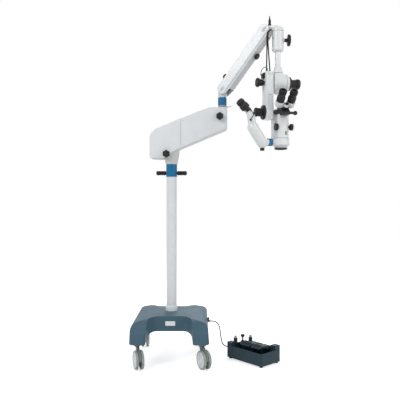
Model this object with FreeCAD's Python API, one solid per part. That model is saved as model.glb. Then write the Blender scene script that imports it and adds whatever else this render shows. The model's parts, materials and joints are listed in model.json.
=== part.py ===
import FreeCAD, Part
import os
from math import cos, pi, radians, sin, sqrt, tan

# Surgical microscope on a rolling stand, with its foot control, in millimetres.
# The origin is the column's axis on the floor. +X runs along the swing arm, +Y is the rear, +Z is up.

V = FreeCAD.Vector
X_AXIS = V(1, 0, 0)
Z_AXIS = V(0, 0, 1)

# Fits
running_gap = 0.05
slip_gap = 0.3

# Base cover and chassis
base_width = 426.0
base_depth = 544.0
base_top_z = 262.0
leg_bottom_z = 132.0
leg_width = 86.0
bridge_depth = 284.0
bridge_bottom_z = 175.0
side_bottom_z = 168.0
base_wall = 4.0
rail_width = 46.0
rail_height = 42.0
beam_depth = 100.0
beam_height = 48.0
ballast_depth = 66.0

# Dimmer
dimmer_y = -64.0
dimmer_z = 226.0
dimmer_shaft_radius = 3.0

# Casters
wheel_diameter = 100.0
wheel_width = 15.0
wheel_spacing = 30.0
caster_spread_x = 344.0
caster_spread_y = 444.0
caster_trail = 30.0
caster_turns = {"front_left": 200.0, "front_right": 206.0, "rear_left": 180.0, "rear_right": 188.0}
hood_width = 12.0
stem_radius = 6.0

# Column
column_radius = 30.0
column_wall = 4.0
column_top_z = 1032.5
foot_collar_radius = 34.0
foot_collar_height = 28.0
sleeve_radius = 31.5
sleeve_top_z = 1104.0
sleeve_spigot = 50.0
bush_radius = 20.5
spindle_radius = 17.0
grip_z = 1054.0
grip_reach = 88.0
grip_radius = 13.0
stud_radius = 5.0

# Swing arm
rear_cover_width = 104.0
front_cover_width = 94.0
cover_wall = 3.0
arm_split_x = 51.0
arm_rear_x = -124.0
arm_front_x = 320.0
arm_tip_top_z = 1428.0
neck_foot_radius = 34.5
neck_head_radius = 46.0
neck_top_z = 1196.0
neck_skirt = 76.0
neck_flare_z = 1150.0
beam_width = 50.0
beam_margin = 52.0
post_x = 293.0
post_bearing_radius = 23.5
post_bearing_top_z = 1445.0
post_bearing_foot_z = 1326.0
lobe_knob_radius = 21.0
lobe_knob_depth = 24.0
rear_knob_x = -27.0
rear_knob_drop = 36.0
front_knob_back = 17.0
front_knob_drop = 54.0

# Post
post_ring_radius = 25.0
post_ring_top_z = 1489.0
post_radius = 23.5
post_flat_width = 40.0
post_pivot_offset = 13.0
lock_screw_radius = 2.5

# Spring arm
arm_yaw = -24.0
arm_rise = 51.0
arm_length = 395.0
arm_pivot_z = 1533.0
arm_cover_width = 75.0
arm_cover_top = 32.0
arm_cover_skirt = 22.0
arm_cover_wall = 3.0
channel_wall = 4.0
channel_depth = 34.0
cheek_radius = 27.0
pivot_pin_radius = 7.0
tie_offset = 24.0
tie_pin_radius = 4.0
tie_thickness = 6.0
tie_half_depth = 5.0
tie_side = 25.0
spring_offset = 13.0
spring_pins = (60.0, 338.0)

# Head carrier and pole
carrier_reach = 67.0
housing_radius = 32.5
carrier_drop = 13.972
housing_height = 110.0
pole_radius = 15.0
pole_gap = 4.0
collar_top_z = 1638.0
collar_foot_radius = 29.5
star_knob_radius = 32.0
star_knob_drop = 47.0
star_screw_radius = 5.0
outlet_dip = 25.0
outlet_reach = 20.0
cable_radius = 2.6
cable_boot_height = 14.0

# Head
head_yaw = 12.0
drive_radius = 52.0
drive_z = 1541.0
drive_left = -30.0
drive_right = 55.0
box_left = -79.0
box_right = -35.0
box_half_depth = 38.0
box_bottom_z = 1341.0
box_top_z = 1597.0
cable_boots_x = (-70.0, -51.0)
cable_boot_y = -14.0
box_wall = 3.0
focus_travel = 20.0
tilt_z = 1378.0
tilt_pin_radius = 12.0
carriage_half_height = 13.0
wheel_shaft_radius = 8.0
wheel_flange_radius = 38.0
wheel_barrel_radius = 24.0

# Microscope
scope_x = 14.0
scope_y = -10.0
scope_half_width = 43.0
scope_front = 42.0
scope_rear = 44.0
scope_top_z = 1364.0
scope_bottom_z = 1235.5
drum_radius = 45.0
drum_bottom_z = 1193.0
objective_radius = 35.0
objective_bottom_z = 1176.0
objective_bore_radius = 29.0
objective_bore_depth = 10.0
zoom_knob_radius = 18.0
zoom_knob_y = -36.0
zoom_knob_z = 1296.0
ocular_spacing = 62.0
ocular_arm = 40.0
ocular_incline = 45.0
ocular_hinge_y = -87.7
ocular_hinge_z = 1397.3
hinge_ring_height = 7.5
bar_left = -50.0
bar_right = 62.0
eyepiece_radius = 22.0
eyepiece_length = 70.0

# Assistant scope
assistant_turn = 12.0
assistant_z = 1212.0
band_low = 1197.0
band_high = 1229.0
assistant_radius = 30.0
assistant_tube_radius = 18.0
assistant_elbow = (118.0, -6.0)
assistant_shoulder = (176.0, 74.0)
assistant_neck = (189.0, 138.0)
assistant_throat = (204.0, 162.0)
assistant_eye = (236.0, 190.0)

# Foot control
tray_length = 260.0
tray_width = 157.0
tray_height = 74.0
tray_foot = 8.0
tray_wall = 3.0
tray_x = 462.0
tray_y = -92.0
tray_turn = -48.0
treadle_spans = ((-48.0, 18.0), (34.0, 90.0))
treadle_hinge_y = 52.0
treadle_hinge_z = 80.0
treadle_front_y = -56.0
button_places = ((-112.0, -26.0), (-66.0, 50.0))
button_sleeve_top = 108.0
button_top = 122.0
button_travel = 4.0
joystick_place = (-86.0, 6.0)
joystick_z = 72.0

# Cord of the foot control
cord_radius = 2.8
gland_radius = 6.0
base_gland_y = 58.0
base_gland_z = 186.0
tray_gland_y = -60.0
tray_gland_z = 58.0


# Plain shapes

def box(x, y, z):
    """Block between two corners, each given as (low, high) along one axis."""
    return Part.makeBox(x[1] - x[0], y[1] - y[0], z[1] - z[0], V(x[0], y[0], z[0]))


def rod(radius, start, end):
    """Round bar between two points."""
    axis = end.sub(start)
    return Part.makeCylinder(radius, axis.Length, start, axis)


def upright(radius, low, high, x=0.0, y=0.0):
    """Round bar standing at x, y."""
    return Part.makeCylinder(radius, high - low, V(x, y, low))


def lathe(profile, base=V(0, 0, 0), axis=Z_AXIS):
    """Turned piece from a closed profile of (radius, height) corners."""
    points = [V(radius, 0, height) for radius, height in profile]
    face = Part.Face(Part.makePolygon(points + [points[0]]))
    solid = face.revolve(V(0, 0, 0), Z_AXIS, 360)
    solid.Placement = FreeCAD.Placement(base, FreeCAD.Rotation(Z_AXIS, axis))
    return solid


def outline(corners, lift):
    """Closed wire whose corners are (a, b, corner radius), laid in a plane by lift."""
    count = len(corners)
    arcs = []
    for index, (a, b, radius) in enumerate(corners):
        here = V(a, b, 0)
        back = V(corners[index - 1][0], corners[index - 1][1], 0).sub(here).normalize()
        ahead = V(corners[(index + 1) % count][0], corners[(index + 1) % count][1], 0).sub(here).normalize()
        if radius <= 0:
            arcs.append((here, None, here))
            continue
        half = back.getAngle(ahead) / 2
        bisector = back.add(ahead).normalize()
        centre = here.add(bisector * (radius / sin(half)))
        reach = radius / tan(half)
        arcs.append((here.add(back * reach), centre.sub(bisector * radius), here.add(ahead * reach)))
    edges = []
    for index, (start, middle, end) in enumerate(arcs):
        if middle is not None:
            edges.append(Part.Arc(lift(start), lift(middle), lift(end)).toShape())
        following = arcs[(index + 1) % count][0]
        if end.distanceToPoint(following) > 0.001:
            edges.append(Part.LineSegment(lift(end), lift(following)).toShape())
    return Part.Wire(edges)


def prism_z(corners, low, high):
    """Outline of (x, y, corner radius) raised from low to high."""
    wire = outline(corners, lambda p: V(p.x, p.y, low))
    return Part.Face(wire).extrude(V(0, 0, high - low))


def prism_y(corners, low, high):
    """Outline of (x, z, corner radius) drawn from y low to y high."""
    wire = outline(corners, lambda p: V(p.x, low, p.y))
    return Part.Face(wire).extrude(V(0, high - low, 0))


def prism_x(corners, low, high):
    """Outline of (y, z, corner radius) drawn from x low to x high."""
    wire = outline(corners, lambda p: V(low, p.x, p.y))
    return Part.Face(wire).extrude(V(high - low, 0, 0))


def placed(shape, placement):
    """Copy of a shape at a placement."""
    moved = shape.copy()
    moved.Placement = placement.multiply(moved.Placement)
    return moved


def star_grip(radius, depth, lobes, base, axis, hub_radius, hub_length):
    """Lobed knob: a disc with round scallops, and a hub towards its base."""
    profile = [(0, hub_length), (radius * 0.72, hub_length), (radius, hub_length + depth * 0.2),
               (radius, hub_length + depth * 0.75), (radius * 0.8, hub_length + depth),
               (0, hub_length + depth)]
    knob = lathe(profile)
    scallop = radius * 0.24
    for index in range(lobes):
        angle = 2 * pi * index / lobes
        x = (radius + scallop * 0.35) * cos(angle)
        y = (radius + scallop * 0.35) * sin(angle)
        knob = knob.cut(upright(scallop, hub_length - 1, hub_length + depth + 1, x, y))
    knob = knob.fuse(upright(hub_radius, 0, hub_length + 0.5)).removeSplitter()
    return placed(knob, FreeCAD.Placement(base, FreeCAD.Rotation(Z_AXIS, axis)))


# Base

def mirrored(half):
    """Corners of a symmetrical outline from those of its right half, bottom first."""
    return half + [(-a, b, radius) for a, b, radius in reversed(half)]


def base_envelope(inset, floor_drop):
    """Moulded form of the base: a front, a side and a plan outline that cut one another."""
    half_width = base_width / 2 - inset
    half_depth = base_depth / 2 - inset
    inner = base_width / 2 - leg_width + inset
    low = leg_bottom_z - floor_drop
    top = base_top_z - inset
    front_half = [(inner, low, 0), (half_width, low, 0), (half_width - 7, top - 26, 38 - inset),
                  (100, top, 160)]
    arch = [(8 - inner, bridge_bottom_z + inset, 34), (inner - 8, bridge_bottom_z + inset, 34)]
    front_form = prism_y(mirrored(front_half) + arch, -half_depth, half_depth)
    side_inner = bridge_depth / 2 + 34 + inset
    side_half = [(side_inner, low, 0), (half_depth, low, 0), (half_depth - 6, top - 74, 26),
                 (half_depth - 58, top - 9, 70), (70, top, 160)]
    side_low = side_bottom_z + inset
    side_arch = [(-side_inner + 10, side_low, 24), (side_inner - 10, side_low, 24)]
    side_form = prism_x(mirrored(side_half) + side_arch, -half_width, half_width)
    bridge = bridge_depth / 2 - inset
    quarter = [(half_width, half_depth, 34 - inset), (inner, half_depth, 24 - inset),
               (inner - 10, bridge + 46, 60), (inner - 44, bridge, 34)]
    rear = mirrored(quarter)
    ring = rear + [(-a, -b, r) for a, b, r in rear]
    plan_form = prism_z(ring, low - 1, top + 1)
    return front_form.common(side_form).common(plan_form)


def base_side(z):
    """Distance of the cover's side face from the middle at a height."""
    return base_width / 2 - 7 * (z - leg_bottom_z) / (base_top_z - 26 - leg_bottom_z)


def base_cover():
    """Open shell with holes for the column, the dimmer and the gland, and a bare recess for the label."""
    shell = base_envelope(0, 0).cut(base_envelope(base_wall, 12))
    shell = shell.cut(upright(column_radius + slip_gap, bridge_bottom_z, base_top_z + 5))
    for radius, y, z in ((dimmer_shaft_radius + running_gap, dimmer_y, dimmer_z),
                         (gland_radius, base_gland_y, base_gland_z)):
        shell = shell.cut(rod(radius, V(190, y, z), V(230, y, z)))
    label = box((-28, 28), (-bridge_depth / 2 - 5, -bridge_depth / 2 + 1), (204, 231))
    return shell.cut(label)


def chassis():
    """Steel rails, cross beam with the column socket, caster blocks and two ballast blocks."""
    rail_z = side_bottom_z + base_wall
    beam_z = bridge_bottom_z + base_wall
    centre = caster_spread_x / 2
    frame = box((-centre, centre), (-beam_depth / 2, beam_depth / 2), (beam_z, beam_z + beam_height))
    for side in (-1, 1):
        x = side * centre
        rail_half = caster_spread_y / 2 + 4
        frame = frame.fuse(box((x - rail_width / 2, x + rail_width / 2), (-rail_half, rail_half),
                               (rail_z, rail_z + rail_height)))
        for end in (-1, 1):
            y = end * caster_spread_y / 2
            block = box((x - 25, x + 25), (y - 20, y + 20), (leg_bottom_z, rail_z + 1))
            frame = frame.fuse(block)
    socket = upright(column_radius + 6, beam_z + beam_height - 1, base_top_z - base_wall)
    frame = frame.fuse(socket).removeSplitter()
    frame = frame.cut(upright(column_radius + running_gap, beam_z - 1, base_top_z))
    for x in (-centre, centre):
        for y in (-caster_spread_y / 2, caster_spread_y / 2):
            frame = frame.cut(upright(stem_radius + running_gap, leg_bottom_z - 1, rail_z + 6, x, y))
    ballast = []
    ballast_top = base_top_z - base_wall - 14
    for side in (-1, 1):
        near = side * beam_depth / 2
        far = side * (beam_depth / 2 + ballast_depth)
        ballast.append(box((-112, 112), (min(near, far), max(near, far)), (beam_z, ballast_top)))
    return [frame] + ballast


def column():
    """Column tube standing in the socket of the chassis."""
    foot = bridge_bottom_z + base_wall
    bar = upright(column_radius, foot, column_top_z)
    return bar.cut(upright(column_radius - column_wall, foot - 1, column_top_z + 1))


def foot_collar():
    """Ring that closes the joint between the column and the cover."""
    inner = column_radius + running_gap
    top = base_top_z + foot_collar_height
    profile = [(inner, base_top_z), (foot_collar_radius, base_top_z), (foot_collar_radius, top - 3),
               (foot_collar_radius - 2, top), (inner, top)]
    return lathe(profile)


def sleeve_ring():
    """Coloured ring at the column's head, with a spigot in the tube and a bore for the bush."""
    spigot = column_radius - column_wall - running_gap
    bottom = column_top_z - sleeve_spigot
    profile = [(bush_radius, bottom), (spigot, bottom), (spigot, column_top_z),
               (sleeve_radius, column_top_z), (sleeve_radius, sleeve_top_z - 1),
               (sleeve_radius - 1, sleeve_top_z), (bush_radius, sleeve_top_z)]
    ring = lathe(profile)
    for side in (-1, 1):
        ring = ring.cut(rod(stud_radius, V(side * (bush_radius + 2), 0, grip_z), V(side * 40, 0, grip_z)))
    return ring


def column_bush():
    """Plain bearing bush in the sleeve ring."""
    inner = spindle_radius + running_gap
    low = column_top_z - sleeve_spigot
    return upright(bush_radius, low, sleeve_top_z).cut(upright(inner, low - 1, sleeve_top_z + 1))


def push_grips():
    """Two round grips on studs in the sleeve ring, one each side."""
    grips = []
    for side in (-1, 1):
        start = sleeve_radius + 1
        length = grip_reach - start
        profile = [(0, bush_radius + 2 - start), (stud_radius, bush_radius + 2 - start), (stud_radius, 0),
                   (grip_radius - 3, 0), (grip_radius, 4), (grip_radius - 1.5, length * 0.3),
                   (grip_radius - 1.5, length * 0.6), (grip_radius, length - 7), (grip_radius - 4, length),
                   (0, length)]
        grips.append(lathe(profile, V(side * start, 0, grip_z), V(side, 0, 0)))
    return grips


# Casters

def caster_place(side, end, turn):
    """Placement of a caster on its swivel axis, its wheels trailing at an angle from the rear."""
    centre = V(side * caster_spread_x / 2, end * caster_spread_y / 2, 0)
    return FreeCAD.Placement(centre, FreeCAD.Rotation(Z_AXIS, turn))


def caster_fork():
    """Hood between the wheels with its boss, stem and axle eye, at the origin."""
    axle_z = wheel_diameter / 2
    half = hood_width / 2
    top = leg_bottom_z - slip_gap
    hood = prism_x([(-18, top - 12, 4), (18, top - 12, 6), (caster_trail + 34, axle_z + 34, 16),
                    (caster_trail + 46, axle_z + 2, 3), (caster_trail + 34, axle_z - 4, 3),
                    (caster_trail - 10, axle_z - 12, 10), (caster_trail - 26, axle_z + 16, 12)], -half, half)
    boss = lathe([(0, top - 16), (15, top - 16), (19, top - 10), (19, top - 2), (17, top), (0, top)])
    stem = upright(stem_radius, top - 1, top + 34)
    fork = hood.fuse(boss).fuse(stem).removeSplitter()
    bore = rod(5 + running_gap, V(-half - 1, caster_trail, axle_z), V(half + 1, caster_trail, axle_z))
    return fork.cut(bore)


def caster_wheels():
    """Two wheels with tyres on one axle, at the origin."""
    axle_z = wheel_diameter / 2
    radius = wheel_diameter / 2
    gap = wheel_spacing / 2 - wheel_width / 2
    pieces = [rod(5, V(-gap - 3, caster_trail, axle_z), V(gap + 3, caster_trail, axle_z))]
    for side in (-1, 1):
        hub = [(5, 3), (9, 0.8), (radius - 9, 0.8), (radius - 9, wheel_width - 2),
               (radius - 14, wheel_width),
               (radius - 30, wheel_width - 1), (12, wheel_width + 1.5), (0, wheel_width + 2), (0, 3)]
        tyre = [(radius - 9, 0.8), (radius - 3, 0.8), (radius, 4), (radius, wheel_width - 4),
                (radius - 3, wheel_width - 0.8), (radius - 9, wheel_width - 2)]
        base = V(side * gap, caster_trail, axle_z)
        pieces.append(lathe(hub, base, V(side, 0, 0)))
        pieces.append(lathe(tyre, base, V(side, 0, 0)))
    return pieces


def dimmer_knob():
    """Small knob of the lamp dimmer on the right side of the base, with its shaft in the wall."""
    x = base_side(dimmer_z - 9) + slip_gap
    shaft = dimmer_shaft_radius
    profile = [(0, -12), (shaft, -12), (shaft, 0), (9, 0), (9, 8), (8, 9), (0, 9)]
    return lathe(profile, V(x, dimmer_y, dimmer_z), X_AXIS)


def base_nodes():
    """Sub-parts of the stand."""
    nodes = {"chassis_frame": chassis(), "base_cover": [base_cover()], "column_tube": [column()],
             "foot_collar": [foot_collar()], "sleeve_ring": [sleeve_ring()], "column_bush": [column_bush()],
             "push_grips": push_grips(), "dimmer_knob": [dimmer_knob()]}
    corners = {"front_left": (-1, -1), "front_right": (1, -1), "rear_left": (-1, 1), "rear_right": (1, 1)}
    for corner, (side, end) in corners.items():
        place = caster_place(side, end, caster_turns[corner])
        nodes["caster_fork_" + corner] = [placed(caster_fork(), place)]
        nodes["caster_wheels_" + corner] = [placed(piece, place) for piece in caster_wheels()]
    return nodes


# Swing arm

def arm_underside(x):
    """Height of the swing arm's sloping underside at x."""
    return 1192.0 + (x - arm_split_x) * (1305.5 - 1192.0) / (arm_front_x - arm_split_x)


def arm_top(x):
    """Height of the swing arm's sloping top at x."""
    return 1363.5 + (x - arm_split_x) * (arm_tip_top_z - 1363.5) / (215.0 - arm_split_x)


def rear_corners(inset):
    """Side outline of the rear cover."""
    split_low = arm_underside(arm_split_x) + inset
    split_high = arm_top(arm_split_x) - inset
    return [(arm_rear_x + inset, 1138 + inset, 14), (arm_rear_x + inset, 1270 - inset, 14),
            (arm_rear_x + 27, 1301 - inset, 20), (arm_split_x - 19, arm_top(32) - inset, 60),
            (arm_split_x, split_high, 0), (arm_split_x, split_low, 0), (-49, 1133 + inset, 24)]


def front_corners(inset):
    """Side outline of the front cover."""
    return [(arm_split_x, arm_underside(arm_split_x) + inset, 0),
            (arm_split_x, arm_top(arm_split_x) - inset, 0),
            (215, arm_tip_top_z - inset, 30), (arm_front_x - inset, arm_tip_top_z - inset, 10),
            (arm_front_x - inset, arm_underside(arm_front_x) + inset, 10)]


def softened(shape, width, radius):
    """Round the long edges of a cover's two side faces."""
    edges = []
    for edge in shape.Edges:
        ends = [vertex.Point.y for vertex in edge.Vertexes]
        on_side = all(abs(abs(y) - width / 2) < 0.01 for y in ends)
        if on_side and abs(edge.CenterOfMass.x - arm_split_x) > 0.5:
            edges.append(edge)
    return shape.makeFillet(radius, edges)


def rear_cover():
    """Rear shell of the swing arm, open to the front cover and round the neck."""
    half = rear_cover_width / 2
    outer = softened(prism_y(rear_corners(0), -half, half), rear_cover_width, 7)
    inner = prism_y(rear_corners(cover_wall), cover_wall - half, half - cover_wall)
    shell = outer.cut(inner)
    return shell.cut(upright(neck_head_radius + slip_gap, neck_top_z - neck_skirt, neck_top_z + 12))


def front_cover():
    """Front shell of the swing arm, with a hole for the post bearing."""
    half = front_cover_width / 2
    outer = softened(prism_y(front_corners(0), -half, half), front_cover_width, 6)
    inner = prism_y(front_corners(cover_wall), cover_wall - half, half - cover_wall)
    shell = outer.cut(inner)
    return shell.cut(upright(post_bearing_radius, post_bearing_foot_z, post_bearing_top_z, post_x))


def arm_neck():
    """Tapered neck under the swing arm, with a flange inside the rear cover."""
    low = sleeve_top_z + slip_gap
    inner = spindle_radius + running_gap
    profile = [(inner, low), (neck_foot_radius - 2, low), (neck_foot_radius, low + 3),
               (neck_foot_radius + 1, low + 10), (neck_head_radius - 3, neck_flare_z),
               (neck_head_radius, neck_flare_z + 22),
               (neck_head_radius, neck_top_z), (inner, neck_top_z)]
    return lathe(profile)


def post_lock_z():
    """Height of the post's lock screw, in the bearing tube above the front cover."""
    return (arm_tip_top_z + post_bearing_top_z) / 2


def arm_beam():
    """Inner beam with the spindle that turns in the column and the bearing tube for the post."""
    half = beam_width / 2
    rear = -neck_head_radius - 2
    bend = post_x - 80
    corners = [(rear, neck_top_z, 4), (rear, arm_top(rear) - beam_margin, 10),
               (bend, arm_tip_top_z - beam_margin, 10), (post_x, arm_tip_top_z - beam_margin + 22, 4),
               (post_x, post_bearing_foot_z, 4), (bend, post_bearing_foot_z - 35, 20),
               (-rear + 6, neck_top_z, 20)]
    beam = prism_y(corners, -half, half)
    bottom = column_top_z - sleeve_spigot + 2
    beam = beam.fuse(upright(spindle_radius, bottom, neck_top_z + 4))
    tube = upright(post_bearing_radius, post_bearing_foot_z, post_bearing_top_z, post_x)
    bore = upright(spindle_radius + running_gap, post_bearing_foot_z - 1, post_bearing_top_z + 1, post_x)
    beam = beam.fuse(tube).removeSplitter().cut(bore)
    screw_z = post_lock_z()
    return beam.cut(rod(lock_screw_radius + running_gap, V(post_x, 0, screw_z), V(post_x + 40, 0, screw_z)))


def side_lock_knob(x, z, half_width):
    """Lobed lock knob on the near side of the swing arm, standing on its hub."""
    base = V(x, -half_width, z)
    knob = star_grip(lobe_knob_radius, lobe_knob_depth - 8, 6, base, V(0, -1, 0), 9, 8)
    return knob


def swing_nodes():
    """Sub-parts of the swing arm."""
    rear_face = rear_cover_width / 2 + slip_gap
    front_face = front_cover_width / 2 + slip_gap
    front_knob = (post_x - front_knob_back, arm_tip_top_z - front_knob_drop, front_face)
    return {"arm_beam": [arm_beam()], "arm_neck": [arm_neck()], "rear_cover": [rear_cover()],
            "front_cover": [front_cover()],
            "rear_lock_knob": [side_lock_knob(rear_knob_x, neck_top_z - rear_knob_drop, rear_face)],
            "front_lock_knob": [side_lock_knob(*front_knob)]}


# Spring arm: the arm's own plane stands at arm_yaw through the post's axis

def arm_plane(along=0.0, height=0.0):
    """Placement in the arm's vertical plane, from the post's axis."""
    turn = FreeCAD.Rotation(Z_AXIS, arm_yaw)
    foot = FreeCAD.Placement(V(post_x, 0, 0), turn)
    return foot.multiply(FreeCAD.Placement(V(along, 0, height), FreeCAD.Rotation()))


def arm_place():
    """Placement of the spring arm: x along the arm from its lower pivot, z square to it."""
    rise = FreeCAD.Placement(V(0, 0, 0), FreeCAD.Rotation(V(0, -1, 0), arm_rise))
    return arm_plane(post_pivot_offset, arm_pivot_z).multiply(rise)


def upper_pivot():
    """Upper pivot in the arm's plane, as (along, height)."""
    return (post_pivot_offset + arm_length * cos(radians(arm_rise)),
            arm_pivot_z + arm_length * sin(radians(arm_rise)))


def head_place():
    """Placement of the head's frame: its z axis is the pole's axis."""
    along, height = upper_pivot()
    centre = arm_plane(along + carrier_reach, 0).Base
    return FreeCAD.Placement(centre, FreeCAD.Rotation(Z_AXIS, head_yaw))


def across(radius, x, z, low, high):
    """Round bar along y at x, z."""
    return rod(radius, V(x, low, z), V(x, high, z))


def pivot_pins():
    """Main pin and tie pin about a pivot at the origin."""
    half = arm_cover_width / 2 - arm_cover_wall - slip_gap
    return [across(pivot_pin_radius, 0, 0, -half, half),
            across(tie_pin_radius, 0, -tie_offset, 4, tie_side + 4)]


def pinned(tongue):
    """A tongue bored for its pins, with the pins."""
    pins = pivot_pins()
    for pin in pins:
        tongue = tongue.cut(pin)
    return [tongue] + pins


def post_fork():
    """Turned post with flats and the lower tongue, and its two pins."""
    low = 1330.0
    neck = post_ring_radius - 5
    seat = post_bearing_top_z + slip_gap
    profile = [(0, low), (spindle_radius - 2, low), (spindle_radius, low + 2), (spindle_radius, seat),
               (neck, seat), (neck, post_ring_top_z), (post_radius, post_ring_top_z),
               (post_radius, arm_pivot_z + 32), (0, arm_pivot_z + 32)]
    turned = lathe(profile)
    half = post_flat_width / 2
    flat_low = post_ring_top_z + 7
    for side in (-1, 1):
        near = side * half
        far = side * (post_radius + 2)
        turned = turned.cut(box((-40, 40), (min(near, far), max(near, far)), (flat_low, arm_pivot_z + 40)))
    high = arm_pivot_z + 40
    crown = prism_y([(-30, flat_low - 2, 0), (-30, high, 0), (-post_radius + 14, high, 0),
                     (-post_radius, arm_pivot_z + 18, 0), (-post_radius, flat_low - 2, 0)], -30, 30)
    tongue = turned.cut(crown)
    lug = across(14, post_pivot_offset, arm_pivot_z, -half, half)
    tie_lug = across(11, post_pivot_offset, arm_pivot_z - tie_offset, -half, half)
    tongue = tongue.fuse(lug).fuse(tie_lug).removeSplitter()
    tongue.translate(V(-post_pivot_offset, 0, -arm_pivot_z))
    pieces = pinned(tongue)
    return [placed(piece, arm_plane(post_pivot_offset, arm_pivot_z)) for piece in pieces]


def post_ring():
    """Coloured ring round the post's neck."""
    low = post_bearing_top_z + slip_gap
    inner = post_ring_radius - 5 + running_gap
    profile = [(inner, low), (post_ring_radius - 1, low), (post_ring_radius, low + 1),
               (post_ring_radius, post_ring_top_z - 1), (post_ring_radius - 1, post_ring_top_z),
               (inner, post_ring_top_z)]
    return lathe(profile, V(post_x, 0, 0))


def post_lock_screw():
    """Lock screw with a small lever, in the bearing tube above the front cover."""
    z = post_lock_z()
    tube = post_x + post_bearing_radius
    screw = rod(lock_screw_radius, V(post_x + spindle_radius + slip_gap, 0, z), V(tube + 14, 0, z))
    head = rod(5, V(tube + slip_gap, 0, z), V(tube + 10, 0, z))
    lever = rod(2, V(tube + 12, 0, z), V(tube + 28, -16, z + 4))
    return screw.fuse(head).fuse(lever).removeSplitter()


def arm_cover():
    """White shell over the spring arm: a trough turned over, slotted at the post."""
    half = arm_cover_width / 2
    far = arm_length + cheek_radius
    corners = [(-cheek_radius, -arm_cover_skirt, 14), (-cheek_radius, arm_cover_top, 26),
               (far, arm_cover_top, 26), (far, -arm_cover_skirt, 14)]
    shell = prism_y(corners, -half, half)
    edges = [edge for edge in shell.Edges
             if edge.Length > arm_length * 0.8 and edge.CenterOfMass.z > 0]
    shell = shell.makeFillet(5, edges)
    inner = half - arm_cover_wall
    ceiling = arm_cover_top - arm_cover_wall
    hollow = box((-cheek_radius - 5, far + 5), (-inner, inner), (-arm_cover_skirt - 5, ceiling))
    shell = shell.cut(hollow)
    slot = cheek_radius + 8
    shell = shell.cut(box((-cheek_radius - 5, slot), (-inner, inner), (0, arm_cover_top + 5)))
    shell = shell.cut(box((arm_length, far + 5), (-inner, inner), (0, arm_cover_top + 5)))
    return shell.cut(rod(5.5, V(64, 0, 0), V(64, 0, arm_cover_top + 5)))


def arm_channel():
    """Load-bearing channel under the cover, with cheeks bored for the pivot pins."""
    half = arm_cover_width / 2 - arm_cover_wall - slip_gap
    inner = half - channel_wall
    far = arm_length + cheek_radius - 3
    near = 3 - cheek_radius
    corners = [(near, 18, 16), (near, -24, 16), (cheek_radius, -channel_depth, 10),
               (arm_length - cheek_radius, -channel_depth, 10), (far, -24, 16), (far, 18, 16)]
    trough = prism_y(corners, -half, half)
    floor = 3.0
    trough = trough.cut(box((near - 5, far + 5), (-inner, inner), (floor - channel_depth, 40)))
    for start, end in ((near - 5, cheek_radius), (arm_length - cheek_radius, far + 5)):
        trough = trough.cut(box((start, end), (-inner, inner), (-channel_depth - 5, 0)))
    for x in (0, arm_length):
        trough = trough.cut(across(pivot_pin_radius + running_gap, x, 0, -half - 1, half + 1))
    return trough.cut(rod(5.05, V(256, 0, -channel_depth - 2), V(256, 0, -channel_depth + 8)))


def gas_spring():
    """Balance spring between two cross pins of the channel."""
    reach = arm_cover_width / 2 - arm_cover_wall - slip_gap - channel_wall
    z = spring_offset
    near, far = spring_pins
    body = lathe([(0, 0), (6, 0), (6, 12), (11, 12), (11, 190), (5, 190), (5, far - near), (0, far - near)],
                 V(near, 0, z), X_AXIS)
    for x in spring_pins:
        body = body.fuse(across(9, x, z, -7, 7))
    body = body.removeSplitter()
    pins = [across(4, x, z, -reach, reach) for x in spring_pins]
    for pin in pins:
        body = body.cut(pin)
    return [body] + pins


def tie_rod():
    """Flat tie bar of the parallelogram with an eye at each end."""
    low = tie_side - tie_thickness / 2
    high = tie_side + tie_thickness / 2
    bar = box((0, arm_length), (low, high), (-tie_half_depth, tie_half_depth))
    for x in (0, arm_length):
        bar = bar.fuse(across(8, x, 0, low, high))
    bar = bar.removeSplitter()
    for x in (0, arm_length):
        bar = bar.cut(across(tie_pin_radius + running_gap, x, 0, low - 1, high + 1))
    rise = FreeCAD.Placement(V(0, 0, 0), FreeCAD.Rotation(V(0, -1, 0), arm_rise))
    return placed(bar, arm_plane(post_pivot_offset, arm_pivot_z - tie_offset).multiply(rise))


def tension_knob():
    """Mushroom knob of the balance spring, with its stem through the cover's top."""
    base = arm_cover_top - arm_cover_wall - 2
    stem_top = arm_cover_top + 10
    profile = [(0, base), (5, base), (5, stem_top), (9, stem_top), (14, stem_top + 3), (15, stem_top + 7),
               (12, stem_top + 11), (0, stem_top + 12.5)]
    return lathe(profile, V(64, 0, 0))


def brake_knob():
    """Lobed brake knob under the channel."""
    knob = star_grip(18, 14, 6, V(256, 0, -channel_depth - slip_gap), V(0, 0, -1), 8, 5)
    return knob.fuse(rod(5, V(256, 0, -channel_depth - 1), V(256, 0, -channel_depth + 4)))


def spring_arm_nodes():
    """Sub-parts of the post and the spring arm."""
    place = arm_place()
    return {"post_fork": post_fork(), "post_ring": [post_ring()], "post_lock_screw": [post_lock_screw()],
            "spring_arm_cover": [placed(arm_cover(), place)],
            "spring_arm_channel": [placed(arm_channel(), place)],
            "gas_spring": [placed(piece, place) for piece in gas_spring()], "tie_rod": [tie_rod()],
            "tension_knob": [placed(tension_knob(), place)], "brake_knob": [placed(brake_knob(), place)]}


# Head carrier

def housing_top():
    """Height of the bearing housing's top, under the carrier's cap."""
    return upper_pivot()[1] - carrier_drop


def cable_outlet():
    """Start and direction of the cable outlet, near the edge of the carrier's cap."""
    plane = arm_plane(upper_pivot()[0] + carrier_reach, housing_top() + 14)
    dip = radians(outlet_dip)
    outward = plane.Rotation.multVec(V(-0.61 * cos(dip), -0.792 * cos(dip), -sin(dip)))
    level = plane.Rotation.multVec(V(-0.61, -0.792, 0))
    return plane.Base.add(level * (housing_radius - 6)), outward.normalize()


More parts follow.
